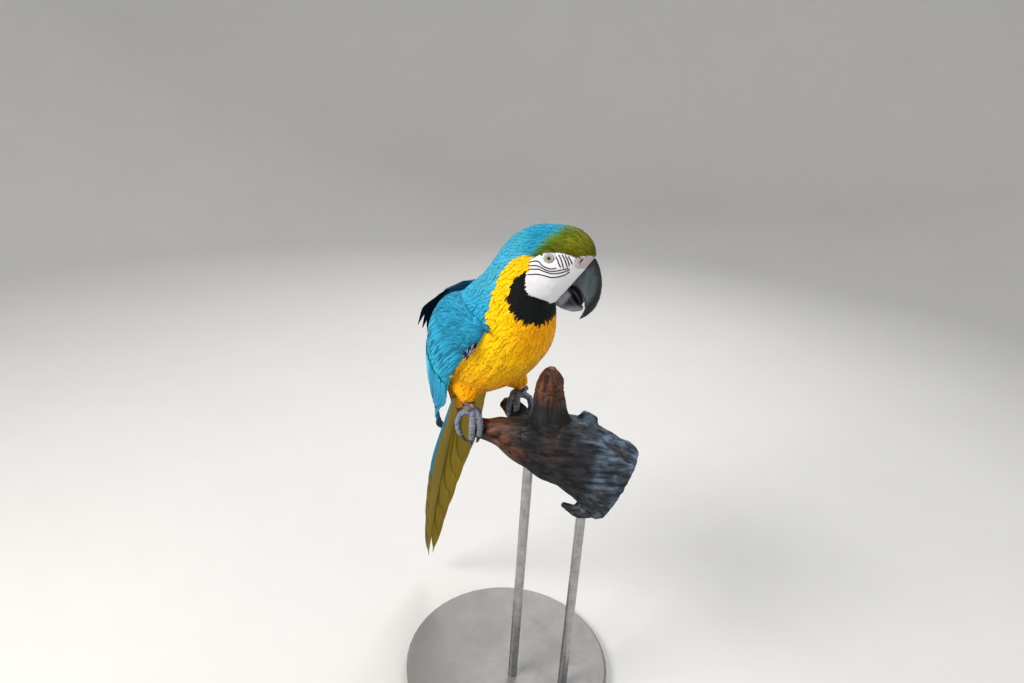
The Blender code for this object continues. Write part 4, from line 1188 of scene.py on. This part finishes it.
# How much longer the feathers of a row are from back to front.
LENGTH_OF_ROW = {"primary": (0.80, 1.12), "secondary": (0.78, 1.08)}
DEPTH_OF_BLUE = {"primary": 0.9, "secondary": 0.15, "tertial": 0.15, "greater": 0.04, "median": 0.02,
                 "lesser": 0.0}
# How bright each row's blue is: partly each row's own tone, partly painted light, brighter down the wing
# where the light falls full on it.
BLUE_TONE_AND_LIGHT = {"primary": 1.0, "secondary": 1.9, "tertial": 1.5, "greater": 1.8, "median": 1.25,
                 "lesser": 0.82}
QUILLS = ("primary", "secondary", "tertial")
STACK = 0.00014  # how much higher each quill lies than the one behind it
DULL_CHANCE, DULL, BRIGHTEST = 0.09, 0.55, 0.85  # share of dull feathers, and limits of brightness
STRAY_ROOTS = (0.14, 0.17, 0.20)
STRAY_RUN, STRAY_REACH, STRAY_HALF_WIDTH = 0.32, 0.33, 0.0085
WORN_FEATHERS, WORN_HALF_WIDTH = 44, 0.0011
WORN_ALONG, WORN_ACROSS = (0.08, 0.20), (0.94, 1.0)  # where the worn patch lies on the wing's chart


def wing_colours(side, name, across, plumage, random):
    """Colours of a row of wing feathers: at the root, at the tip and at the side margins."""
    sky, violet, black = shades_of(plumage, "sky", "violet", "black")
    count = len(across)
    # Each row's brightness: its own tone and painted light.
    bright = BLUE_TONE_AND_LIGHT[name] * (1 + random.normal(0, 0.20, (count, 1)))
    bright = np.where(random.random((count, 1)) < DULL_CHANCE, DULL, bright)
    body = blend(sky, violet, np.full(count, DEPTH_OF_BLUE[name])) * bright
    front = smooth_step(across, 0.45, 0.75)
    tips = np.broadcast_to(sky * 1.1, body.shape) * bright
    if name == "secondary":
        tips = blend(black[None] * 1.5 + violet * 0.3, violet[None] * 0.8 + black, front)
    if name == "tertial":
        tips = np.broadcast_to(violet * 0.7 + black, body.shape)
    if name == "primary":
        tips = np.broadcast_to(violet * 0.6, body.shape)
    # Paler side margins: painted highlights along the feathers' edges.
    edges = np.minimum(blend(body, sky * 1.9, np.full(count, 0.5)), BRIGHTEST)
    # Towards its back edge the far wing is painted dark navy: painted shade where it lies behind the back.
    if side == "left":
        shown = smooth_step(across, 0.10, 0.45)
        body = blend(violet[None] * 0.25, body, shown)
        tips = blend(violet[None] * 0.20, tips, shown)
        edges = blend(violet[None] * 0.5 + sky * 0.25, edges, shown)
    body, tips = np.minimum(body, BRIGHTEST), np.minimum(tips, BRIGHTEST)
    return body * (0.8 if name in QUILLS else 0.4), tips, edges


def add_strays(laid, chart, surface, plumage):
    """Dark inner feathers of the lifted wing that stick out past its trailing edge; their near black is
    partly their own and partly painted shade.
    """
    t = np.linspace(0, 1, LONG["rows"] + 1)
    count = len(STRAY_ROOTS)
    along = np.array(STRAY_ROOTS)[:, None] + STRAY_RUN * t
    across = 0.10 - STRAY_REACH * np.linspace(1.0, 0.7, count)[:, None] * t**1.3
    places, ups = chart.at(along, across)
    violet, black = shades_of(plumage, "violet", "black")
    dark = repeated(violet * 0.10 + black, count)
    laid.add(places - ups * 0.001, ups, np.full(count, STRAY_HALF_WIDTH), dark, dark,
             surface.patches_at(places[:, 0]), camber=0.12, round_tip=0.12, fringe=0.01,
             edges=dark * 2.5, under=dark * 1.6)


def add_worn_patch(laid, chart, surface, plumage, random):
    """Sparse cream and navy feathers at the near wing's worn front edge."""
    count = WORN_FEATHERS
    t = np.linspace(0, 1, COVERT["rows"] + 1)
    along = random.uniform(*WORN_ALONG, count)[:, None] + 0.04 * t
    across = random.uniform(*WORN_ACROSS, count)[:, None] + 0.01 * t
    places, ups = chart.at(along, across)
    face, violet = shades_of(plumage, "face", "violet")
    cream, navy = face * (0.60, 0.52, 0.40), violet * 0.5
    shade = blend(cream[None], navy, (random.random(count) < 0.6) * 1.0)
    spines = places + ups * (0.0022 + 0.0016 * t)[None, :, None]
    laid.add(spines, ups, np.full(count, WORN_HALF_WIDTH), shade * 0.6, shade,
             surface.patches_at(places[:, 0]), camber=0.16, round_tip=0.05, fringe=0.02, edges=shade)


def add_row(laid, chart, surface, plumage, random, side, share, odd, plan):
    """One row of a wing's feathers, at its share of the way through its kind's rows."""
    name, start, end, rows, count, span, length, width, rise, sink = plan
    step = (span[1] - span[0]) / count
    across = np.linspace(*span, count) + odd * 0.5 * (span[1] - span[0]) / count
    across = np.minimum(across, 0.985) + random.normal(0, 0.10 * step, count)
    root = start + (end - start) * share + random.normal(0, 0.004, count)
    if rows == 1:
        root = np.linspace(start, end, count) + random.normal(0, 0.004, count)
    far = length * random.uniform(0.9, 1.08, count) / chart.length
    far = far * np.linspace(*LENGTH_OF_ROW.get(name, (1.0, 1.0)), count)
    t = np.linspace(0, 1, laid.kind["rows"] + 1)
    along = root[:, None] + far[:, None] * t
    drift = 0.06 * (0.5 - across)[:, None] * t
    places, ups = chart.at(along, across[:, None] + drift)
    lift = rise * (0.2 * t + 0.8 * t**2) - sink
    layer = STACK * np.arange(count) if name in QUILLS else np.zeros(count)
    if name == "primary":
        layer = layer[::-1] * 0.6
    spines = places + ups * (lift[None, :, None] + layer[:, None, None] * (1 - 0.7 * t)[None, :, None])
    patches = surface.patches_at(places[:, 0])
    roots, tips, edges = wing_colours(side, name, across, plumage, random)
    sky, olive = shades_of(plumage, "sky", "olive")
    # Undersides painted at a fraction of their olive and blue: painted shade where they face the body.
    below = sky * 0.22 if name == "primary" else olive * 0.12
    laid.add(spines, ups, np.full(count, width) * random.uniform(0.9, 1.1, count), roots, tips, patches,
             camber=0.16, round_tip=0.05, fringe=0.012, edges=edges, under=repeated(below, count))


def dress_wing(side, plumage):
    """Rows of overlapping feathers over the outer side of one folded wing."""
    chart = WingChart(side)
    surface = Surface(bpy.data.objects["skin"])
    random = np.random.default_rng(SEED + 40)
    finish = feather_material("wing_feathers_" + side, 0.34, 26.0, 0.35, 0.58, 0.45)
    for size_name, kind in (("small", COVERT), ("long", LONG)):
        laid = Feathers(f"wing_{size_name}_feathers_{side}", kind, SEED + 41)
        for plan in WING_ROWS:
            rows = plan[3] if (kind is LONG) == (plan[0] in QUILLS) else 0
            for row in range(rows):
                add_row(laid, chart, surface, plumage, random, side, row / max(rows - 1, 1), row % 2, plan)
        if kind is LONG and side == "left":
            add_strays(laid, chart, surface, plumage)
        if kind is COVERT and side == "right":
            add_worn_patch(laid, chart, surface, plumage, random)
        laid.finish(finish, "blue_plumage", *((f"wing_{side}_primaries",) if kind is LONG else ()))


# ---------------------------------------------------------------- tail

def edges_along(mesh, stations, way):
    """The two side edges of a long flat solid, where planes across it at even stations cut it."""
    points, _ = vertex_arrays(mesh)
    pairs = np.array([tuple(edge.vertices) for edge in mesh.edges])
    centre = points.mean(axis=0)
    _, _, axes = np.linalg.svd(points - centre, full_matrices=False)
    axis = axes[0] * np.sign(axes[0] @ way)
    along = (points - centre) @ axis
    margin = (along.max() - along.min()) * 0.004
    lefts, rights = [], []
    for place in np.linspace(along.min() + margin, along.max() - margin, stations):
        ends = along[pairs] - place
        cut = (ends[:, 0] < 0) != (ends[:, 1] < 0)
        share = ends[cut, 0] / (ends[cut, 0] - ends[cut, 1])
        first, second = points[pairs[cut, 0]], points[pairs[cut, 1]]
        spots = first + (second - first) * share[:, None]
        across = (spots - centre) @ axes[1]
        lefts.append(spots[across.argmin()])
        rights.append(spots[across.argmax()])
    return np.array(lefts), np.array(rights)


def softened(line):
    line = line.copy()
    for _ in range(2):
        line[1:-1] = (line[:-2] + 2 * line[1:-1] + line[2:]) / 4
    return line


MIDDLE_WIDER = 1.2  # how much wider the two middle tail feathers are laid, so that no gap shows
BLUE_EDGED = "tail_feather_right_6"  # the tail feather whose blue outer margin shows from below
TAIL_TOP = "tail_feather_right_1"  # the one that lies over its neighbour


def dress_tail(plumage):
    """Each tail feather as a fine double-faced vane with a raised shaft."""
    surface = Surface(bpy.data.objects["skin"])
    finish = feather_material("tail_feathers", 0.30, 60.0, 0.8, 0.5, 0.4)
    sky, violet, olive = shades_of(plumage, "sky", "violet", "olive")
    kind = dict(LONG, rows=34, columns=10, thickness=0.0008)
    random = np.random.default_rng(SEED + 60)
    tail = Feathers("tail_feathers", kind, SEED + 61)
    names = [f"tail_feather_{side}_{k}" for side in SIDES for k in range(1, 7)]
    back = np.array((0.0, 1.0, 0.35))
    for name in names:
        lefts, rights = edges_along(NODES[name].data, kind["rows"] + 1, np.array((0.0, 0.3, -1.0)))
        lefts, rights = softened(lefts), softened(rights)
        spine = (lefts + rights) / 2
        half = np.linalg.norm(rights - lefts, axis=1) / 2
        ways = unit(np.gradient(spine, axis=0))
        ups = unit(np.cross(unit(rights - lefts), ways))
        ups = ups * np.sign((ups @ back).mean())
        t = np.linspace(0, 1, len(spine))
        wider = MIDDLE_WIDER if name.endswith("_1") else 1.0
        half = half * wider * np.clip(1.25 - 0.9 * smooth_step(t, 0.9, 1.0), 0.15, 1.0)
        bright = 1 + random.normal(0, 0.08)
        v = np.linspace(-1, 1, kind["columns"] + 1)
        # Darker side margins on the underside: painted shade between the overlapping feathers.
        under = olive * bright * (1 - 0.25 * smooth_step(np.abs(v), 0.75, 0.98))[:, None]
        if name == BLUE_EDGED:
            outward = np.sign(np.cross(ups[0], ways[0])[0]) * -1.0
            under = blend(under, sky * 1.3, smooth_step(v * outward, 0.35, 0.6))
        lift = 0.0010 if name == TAIL_TOP else 0.0004
        patch = surface.patches_at(spine[:1]) + random.uniform(-0.004, 0.004, 2)
        tail.add((spine + ups * lift)[None], ups[None], half[None], (sky * 0.8 * bright)[None],
                 (violet * bright)[None], patch, camber=0.05, round_tip=0.015, fringe=0.002,
                 edges=(sky * 1.2)[None], under=under[None])
    tail.finish(finish, "tail_plumage", *names)


# ---------------------------------------------------------------- eyes, bill and feet

def dress_eyes(plumage, skin):
    """The eyeballs in fine mesh, with ringed and creased lids."""
    for side in SIDES:
        ball = bmesh.new()
        bmesh.ops.create_uvsphere(ball, u_segments=48, v_segments=32, radius=EYE_RADIUS)
        look = gaze(side)[0]
        turn = Vector((0, 0, 1)).rotation_difference(look).to_matrix().to_4x4()
        for vertex in ball.verts:
            off_axis = vertex.co.xy.length
            if vertex.co.z > 0:
                under_lid = max(0.0, off_axis - skin.lid_line)
                vertex.co.z = min(vertex.co.z, eye_height(off_axis) - 2.5 * under_lid)
        ball.transform(Matrix.Translation(EYES[side]) @ turn)
        mesh = bpy.data.meshes.new("eyeball")
        ball.to_mesh(mesh)
        ball.free()
        mesh.shade_smooth()
        eye = make_object("eyeball_" + side, mesh, eye_material(side, skin))
        finish_piece(eye, "eye", "eye_" + side)
        make_lids(side, plumage, skin)


def bell(value, middle, width):
    """1 at the middle, falling off smoothly to both sides."""
    return math.exp(-((value - middle) / width) ** 2)


def make_lids(side, plumage, skin):
    """Lids that hug the eyeball: a dark rim, a pale ring, a dark line and the face's skin round them."""
    look, ahead, above = gaze(side)
    around, profile = 72, []
    for radius in np.linspace(skin.lid_inner, skin.lid_outer, 20):
        rim = bell(radius, skin.lid_inner + 0.0002, 0.00028)
        line = bell(radius, skin.lid_line, 0.00036)
        beyond = min(max((radius - skin.lid_line) / 0.0006, 0.0), 1.0)
        pale = 0.55 * (1 - beyond) + plumage.face[0] * beyond
        grey = pale * (1 - 0.94 * max(rim, line)) + 0.008
        ridge = 0.00035 * rim - 0.00022 * line + 0.00028 * bell(radius, 0.0041, 0.0004)
        profile.append((radius, ridge, grey))
    profile += [(skin.lid_outer * k, -skin.lid_outer * (k - 1), pale) for k in (1.08, 1.2, 1.35)]
    points, shades = [], []
    for k in range(around):
        turn = 2 * math.pi * k / around
        out = ahead * math.cos(turn) + above * math.sin(turn)
        for radius, lift, grey in profile:
            bead = 0.00008 * math.sin(turn * 26) * bell(radius, 0.0042, 0.0005)
            reach = radius * (1.0 - 0.05 * math.sin(turn) ** 2)
            height = eye_height(min(reach, skin.lid_outer)) + 0.0002
            points.append(EYES[side] + out * reach + look * (height + lift + bead))
            shades.append((grey, grey, grey))
    rim = len(profile)
    faces = [(k * rim + i, k * rim + i + 1, (k + 1) % around * rim + i + 1, (k + 1) % around * rim + i)
             for k in range(around) for i in range(rim - 1)]
    if SIDES[side] > 0:
        faces = [face[::-1] for face in faces]
    mesh = mesh_of(points, faces)
    beyond = smooth_step(np.tile([ring[0] for ring in profile], around), skin.lid_line + 0.0003,
                         skin.lid_line + 0.0012)
    paint(mesh, "Tint", blend(np.array(shades), plumage_colours(flat(points), plumage), beyond))
    lids = make_object("lids_" + side, mesh, lid_material())
    solid = lids.modifiers.new("Thickness", "SOLIDIFY")
    solid.thickness = 0.0004
    solid.offset = -1.0
    applied(lids)
    finish_piece(lids, "foot_skin")


TONGUE_GRAIN, CLAW_GRAIN = 0.0005, 0.00035
BILL_STEPS, SCUTE_DEPTH, FOOT_GRAIN = 0.00007, 0.00038, 0.00010  # depths of the horn's and skin's relief


def bill_colours(head, horn, is_upper):
    """Near-black ridge, grey sides bluer towards the base, a pale cutting edge, and painted shade on the
    lower bill's inner side where it lies in the mouth.
    """
    if not is_upper:
        # Darker where the lower bill lies inside the mouth under the hook: painted shade.
        inner = smooth_step(head[:, 0] - 0.66 * (head[:, 1] + 56.0) - 30.0 + 19.0, 0.0, 5.0)
        return blend(horn[None] * 5.5, horn * 0.3, inner * smooth_step(head[:, 1], -58.0, -50.0))
    reach = np.hypot(*(head[:, :2] - np.array(BILL_HEART)).T)
    ridge = smooth_step(reach + 1.2 * wobble(head / 1000, 200.0), 26.5, 32.5)
    base = smooth_step(head[:, 1] + 0.5 * head[:, 0], 2.0, 12.0)
    shade = blend(horn[None] * (1.5, 1.9, 1.8), horn * (1.8, 2.5, 2.9), base)
    shade = blend(shade, horn * 0.08, ridge)
    edge = np.abs(inside_by(head[:, :2], BILL_EDGE + BILL_EDGE[-2:0:-1]))
    shade = blend(shade, horn * 0.5, smooth_step(edge, 4.5, 2.0) * 0.6)
    worn = smooth_step(edge + 0.6 * wobble(head / 1000, 900.0), 1.0, 0.4)
    return blend(shade, (0.30, 0.28, 0.26), worn * 0.75)


def dress_bill(skin):
    """Upper and lower bill and tongue in fine mesh, with growth steps and worn edges."""
    horn = horn_material("bill_horn")
    inside = horn_material("mouth", (0.006, 0.005, 0.006), 0.3)
    for name in ("bill_upper", "bill_lower"):
        piece = regrown(name + "_horn", (name,), skin.bill_grain, 3)
        mesh = piece.data
        places, normals = vertex_arrays(mesh)
        head = in_head(places)
        run = np.hypot(head[:, 0] + 0.004, head[:, 1] + 0.020)
        steps = np.sin(run * 900.0 + 3 * wobble(places, 90.0)) * BILL_STEPS
        rough = wobble(places, 320.0, 4.0) * 0.00012 + wobble(places, 900.0, 5.0) * 0.00005
        move_vertices(mesh, places + normals * (steps + rough - 0.0001)[:, None])
        paint(mesh, "Tint", bill_colours(head / MM, np.array(skin.horn), name == "bill_upper"))
        mesh.materials.append(horn)
        finish_piece(piece, "bill_horn", name)
    tongue = regrown("tongue_skin", ("tongue",), TONGUE_GRAIN, 3)
    tongue.data.materials.append(inside)
    finish_piece(tongue, "bill_horn", "tongue")


def dress_feet(skin):
    """Feet with ringed scutes along the toes, and curved glossy claws."""
    scales = foot_material(skin.foot)
    claw = horn_material("claw_horn", tuple(c * 0.6 for c in skin.horn), 0.5)
    ring = metal_material("leg_ring", (0.36, 0.26, 0.22), 260.0, 0.36)
    for side in SIDES:
        name = "foot_" + side
        foot = regrown(name + "_skin", (name,), skin.bill_grain, 3)
        mesh = foot.data
        places, normals = vertex_arrays(mesh)
        out = places - np.array(middle(name))
        swing = np.arctan2(out[:, 2], np.hypot(out[:, 0], out[:, 1]))
        scutes = np.abs(np.sin(swing * 15.0 + wobble(places, 120.0) * 0.8))
        dents = (smooth_step(scutes, 0.0, 0.45) - 0.7) * SCUTE_DEPTH
        grain = wobble(places, 700.0, 6.0) * FOOT_GRAIN
        move_vertices(mesh, places + normals * (dents + grain)[:, None])
        mesh.materials.append(scales)
        finish_piece(foot, "foot_skin", name)
        for k in range(1, 5):
            node = f"claw_{side}_{k}"
            horn = regrown(node + "_horn", (node,), CLAW_GRAIN, 2)
            horn.data.materials.append(claw)
            finish_piece(horn, "claw_horn", node)
        refinish("ring_" + side, ring)


def refinish(node, finish):
    """Gives a carried-over solid its own finish."""
    mesh = NODES[node].data
    mesh.materials.clear()
    mesh.materials.append(finish)


# ---------------------------------------------------------------- limb and stand

FIBRE_DEPTH, KNOT_DEPTH, BARK_LOSS = 0.00030, 0.0006, 0.0005  # relief of the limb's wood
CRACKS_DEEPER = 1.6
HEART_FROM, HEART_TO = 0.035, 0.070  # heights over the feet between which the spike turns red
SHADED_HOLLOW_AT, SHADED_HOLLOW_RADIUS = (0.040, 0.006), 0.022  # the hollow, painted near black as painted shade: along the limb and up, and its size


def dress_limb(perch):
    """The weathered limb in fine mesh: fibres and cracks along it, worn tips."""
    limb = regrown("limb_wood", ("limb",), perch.grain, 2)
    mesh = limb.data
    places, normals = vertex_arrays(mesh)
    along = Vector((math.cos(LIMB_HEADING), math.sin(LIMB_HEADING), 0.0))
    across = Vector((-along.y, along.x, 0.0))
    run, over = ((places - np.array(FEET)) @ np.array(way) for way in (along, across))
    height = places[:, 2] - FEET.z
    squeezed = np.stack([run * 0.16, over, height], axis=1)
    cracks = wobble(squeezed, 170.0, 3.0)
    deep = smooth_step(np.abs(cracks), 0.16, 0.0) * smooth_step(wobble(squeezed, 45.0, 8.0), -0.2, 0.3)
    fibre = wobble(squeezed, 520.0, 1.0) * FIBRE_DEPTH
    knots = wobble(places, 60.0, 2.0) * KNOT_DEPTH
    grip = smooth_step(run, -0.002, 0.022)
    shape = (knots + fibre - deep * perch.crack_depth * CRACKS_DEEPER - BARK_LOSS) * (0.3 + 0.7 * grip)
    shape = np.where(grip < 0.6, np.minimum(shape, 0.0), shape)
    move_vertices(mesh, places + normals * shape[:, None])
    spike = smooth_step(height, HEART_FROM, HEART_TO)
    tip = smooth_step(run, 0.048, 0.005)
    wear = np.clip(spike + tip * 0.8 + 0.25 * wobble(places, 40.0, 5.0), 0.0, 1.0) * (1 - 0.8 * deep)
    # The far side gets blue grey painted sheen.
    far = smooth_step(run + 0.5 * over, 0.055, 0.085) * (0.75 + 0.25 * wobble(places, 55.0, 6.0))
    # The hollow gets near black painted shade.
    hollow_shade = smooth_step(np.hypot(run - SHADED_HOLLOW_AT[0], height - SHADED_HOLLOW_AT[1]), SHADED_HOLLOW_RADIUS, 0.006)
    paint(mesh, "WearSheenShade", np.stack([wear, np.clip(far, 0.0, 1.0), hollow_shade], axis=1))
    mesh.materials.append(wood_material(perch, along))
    finish_piece(limb, "driftwood", "limb")


def finish_stand(perch):
    steel = metal_material("rod_steel", (0.46, 0.46, 0.47), 90.0, 0.30)
    refinish("stand_base", board_material(perch))
    refinish("stand_rod_front", steel)
    refinish("stand_rod_back", steel)


def draw_face_lines(plumage):
    """Rows of small dark feathers over the bare face, on both sides."""
    surface = Surface(bpy.data.objects["skin"])
    random = np.random.default_rng(SEED + 20)
    lines = Feathers("face_lines", SMALL, SEED + 21)
    for side in SIDES.values():
        roots, ways = [], []
        for line in FACE_LINES:
            length = np.linalg.norm(np.diff(np.array(line), axis=0), axis=1).sum()
            dots = curve_through(line, int(length / LINE_STEP)) * MM
            heading = unit(np.gradient(dots, axis=0))
            backwards = -1 if abs(line[-1][0] - line[0][0]) > abs(line[-1][1] - line[0][1]) else 1
            for (forward, up), (ahead, above) in zip(dots, heading):
                shot = from_head(forward, up, 0.06 * side)
                hit = surface.tree.ray_cast(shot, -LEFTWARD * side, 0.06)
                if hit[0] is not None:
                    roots.append(hit[0])
                    ways.append((FORWARD * ahead + UPWARD * above) * backwards)
        roots, ways = flat(roots), flat(ways)
        count = len(roots)
        lengths = np.full(count, LINE_LENGTH) * random.uniform(0.85, 1.15, count)
        rise = np.full(count, LINE_RISE)
        spines, ups, patches = march(surface, roots, lengths, rise, 0.0, random, 0.05, ways)
        dark = repeated(np.array(plumage.black), count)
        lines.add(spines, ups, np.full(count, LINE_HALF_WIDTH), dark, dark * 1.5, patches)
    lines.finish(feather_material("line_feathers", 0.2, 3.0, 0.0, 0.7, 0.2), "blue_plumage")


# ---------------------------------------------------------------- stage

FLOOR_BEND, FLOOR_WALL = 0.9, 0.8  # radius of the curve up at the floor's edge and height of the wall
FLOOR_SIDES = 96


def make_floor(stage):
    """A round pale floor whose edge curves up into a low wall."""
    rim = stage.floor_radius
    profile = [(rim * k / 6, 0.0) for k in range(1, 7)]
    profile += [(rim + FLOOR_BEND * math.sin(a), FLOOR_BEND * (1 - math.cos(a)))
                for a in np.linspace(0, math.pi / 2, 13)[1:]]
    profile.append((profile[-1][0], profile[-1][1] + FLOOR_WALL))
    low = CAD_BOX[0][2]
    points, faces = [], []
    for radius, height in profile:
        points += [(radius * math.cos(a), radius * math.sin(a), height + low)
                   for a in np.linspace(0, 2 * math.pi, FLOOR_SIDES, endpoint=False)]
    points.append((0.0, 0.0, low))
    for start in range(0, (len(profile) - 1) * FLOOR_SIDES, FLOOR_SIDES):
        for i in range(FLOOR_SIDES):
            a, b = start + i, start + (i + 1) % FLOOR_SIDES
            faces.append((a, b, b + FLOOR_SIDES, a + FLOOR_SIDES))
    faces += [(len(points) - 1, (i + 1) % FLOOR_SIDES, i) for i in range(FLOOR_SIDES)]
    make_object("floor", mesh_of(points, faces), floor_material(stage.floor_shade))


def add_light(name, place, aim, width, power, shade):
    data = bpy.data.lights.new(name, "AREA")
    data.shape = "DISK"
    data.size = width
    data.energy = power
    data.color = shade
    made = bpy.data.objects.new(name, data)
    made.location = place
    made.rotation_mode = "QUATERNION"
    made.rotation_quaternion = (aim - place).to_track_quat("-Z", "Y")
    bpy.context.scene.collection.objects.link(made)


SKY_SHADE, SKY_STRENGTH = (0.92, 0.95, 1.0, 1.0), 0.45
SENSOR_WIDTH = 36.0
# Lights: how far each stands beyond the bird as the camera sees it, to its right and above it, its
# width, its power as a share of the main light's, and its colour.
LIGHTS = {
    "key": (-0.8, -1.2, 1.15, 0.9, 1.0, (1.0, 0.97, 0.93)),
    "fill": (-0.8, 1.5, 0.6, 1.4, 0.24, (0.95, 0.97, 1.0)),
    "rim": (1.5, 0.3, 1.3, 1.0, 0.6, (1, 1, 1)),
}


def light_stage(stage):
    """Three soft lights round the bird and an even pale sky."""
    aim = FEET + Vector((0.0, 0.0, 0.05))
    right = Vector((math.cos(stage.heading), math.sin(stage.heading), 0.0))
    ahead = Vector((-right.y, right.x, 0.0))
    for name, (deep, aside, high, width, share, shade) in LIGHTS.items():
        place = aim + ahead * deep + right * aside + UPWARD * high
        add_light(name, place, aim, width, stage.key_power * share, shade)
    world = bpy.data.worlds.new("studio")
    world.use_nodes = True
    sky = world.node_tree.nodes["Background"]
    sky.inputs[0].default_value = SKY_SHADE
    sky.inputs[1].default_value = SKY_STRENGTH
    bpy.context.scene.world = world
    bpy.context.scene.view_settings.view_transform = "Standard"


def place_camera(stage):
    """Looks along the heading, pitched down and rolled, from its place beside the feet."""
    data = bpy.data.cameras.new("camera")
    data.lens = stage.lens
    data.sensor_width = SENSOR_WIDTH
    made = bpy.data.objects.new("camera", data)
    turn = (Matrix.Rotation(stage.heading, 4, "Z") @ Matrix.Rotation(math.pi / 2 - stage.pitch, 4, "X")
            @ Matrix.Rotation(stage.roll, 4, "Z"))
    made.matrix_world = Matrix.Translation(FEET + CAMERA_FROM_FEET) @ turn
    bpy.context.scene.collection.objects.link(made)
    bpy.context.scene.camera = made


# ---------------------------------------------------------------- operators

def settings(context):
    scene = context.scene
    return scene.macaw_plumage, scene.macaw_skin, scene.macaw_perch, scene.macaw_stage


class MACAW_OT_groups(bpy.types.Operator):
    """Build the node groups that the finishes share"""
    bl_idname = "macaw.groups"
    bl_label = "Shared effects"

    def execute(self, context):
        make_barb_group()
        make_mottle_group()
        return {"FINISHED"}


class MACAW_OT_skin(bpy.types.Operator):
    """Grow one skin over the flesh"""
    bl_idname = "macaw.skin"
    bl_label = "Skin"

    def execute(self, context):
        plumage, skin, _, _ = settings(context)
        grow_skin(plumage, skin)
        return {"FINISHED"}


class MACAW_OT_coat(bpy.types.Operator):
    """Lay the small feathers of the head, neck, trunk and thighs"""
    bl_idname = "macaw.coat"
    bl_label = "Coat"

    def execute(self, context):
        plumage = settings(context)[0]
        dress_body(plumage)
        draw_face_lines(plumage)
        return {"FINISHED"}


class MACAW_OT_wings(bpy.types.Operator):
    """Lay the rows of feathers over both folded wings"""
    bl_idname = "macaw.wings"
    bl_label = "Wings"

    def execute(self, context):
        for side in SIDES:
            dress_wing(side, settings(context)[0])
        return {"FINISHED"}


class MACAW_OT_tail(bpy.types.Operator):
    """Make the long tail feathers"""
    bl_idname = "macaw.tail"
    bl_label = "Tail"

    def execute(self, context):
        dress_tail(settings(context)[0])
        return {"FINISHED"}


class MACAW_OT_head(bpy.types.Operator):
    """Make the eyes, lids, bill and tongue"""
    bl_idname = "macaw.head"
    bl_label = "Eyes and bill"

    def execute(self, context):
        plumage, skin, _, _ = settings(context)
        dress_eyes(plumage, skin)
        dress_bill(skin)
        return {"FINISHED"}


class MACAW_OT_feet(bpy.types.Operator):
    """Make the feet, claws and leg rings"""
    bl_idname = "macaw.feet"
    bl_label = "Feet"

    def execute(self, context):
        dress_feet(settings(context)[1])
        return {"FINISHED"}


class MACAW_OT_perch(bpy.types.Operator):
    """Make the weathered limb and finish the stand"""
    bl_idname = "macaw.perch"
    bl_label = "Perch and stand"

    def execute(self, context):
        perch = settings(context)[2]
        dress_limb(perch)
        finish_stand(perch)
        return {"FINISHED"}


class MACAW_OT_stage(bpy.types.Operator):
    """Set the floor, the lights and the camera"""
    bl_idname = "macaw.stage"
    bl_label = "Stage"

    def execute(self, context):
        stage = settings(context)[3]
        make_floor(stage)
        light_stage(stage)
        place_camera(stage)
        return {"FINISHED"}


class MACAW_PT_panel(bpy.types.Panel):
    """Lists the steps that dress the macaw"""
    bl_idname = "MACAW_PT_panel"
    bl_label = "Macaw"
    bl_space_type = "VIEW_3D"
    bl_region_type = "UI"
    bl_category = "Macaw"

    def draw(self, context):
        for step in STEPS:
            self.layout.operator(step.bl_idname)
        for group_name in GROUPS:
            found = getattr(context.scene, group_name)
            box = self.layout.box()
            box.label(text=group_name.replace("macaw_", "").title())
            for key in found.__annotations__:
                box.prop(found, key)


STEPS = (MACAW_OT_groups, MACAW_OT_skin, MACAW_OT_coat, MACAW_OT_wings, MACAW_OT_tail, MACAW_OT_head,
         MACAW_OT_feet, MACAW_OT_perch, MACAW_OT_stage)
GROUPS = {"macaw_plumage": MacawPlumage, "macaw_skin": MacawSkin, "macaw_perch": MacawPerch,
          "macaw_stage": MacawStage}


def register():
    for kind in (*GROUPS.values(), *STEPS, MACAW_PT_panel):
        bpy.utils.register_class(kind)
    for name, kind in GROUPS.items():
        setattr(bpy.types.Scene, name, PointerProperty(type=kind))


def unregister():
    for name in GROUPS:
        delattr(bpy.types.Scene, name)
    for kind in reversed((*GROUPS.values(), *STEPS, MACAW_PT_panel)):
        bpy.utils.unregister_class(kind)


def main():
    register()
    bpy.ops.macaw.groups()
    bpy.ops.macaw.skin()
    bpy.ops.macaw.coat()
    bpy.ops.macaw.wings()
    bpy.ops.macaw.tail()
    bpy.ops.macaw.head()
    bpy.ops.macaw.feet()
    bpy.ops.macaw.perch()
    bpy.ops.macaw.stage()


if __name__ == "__main__":
    main()
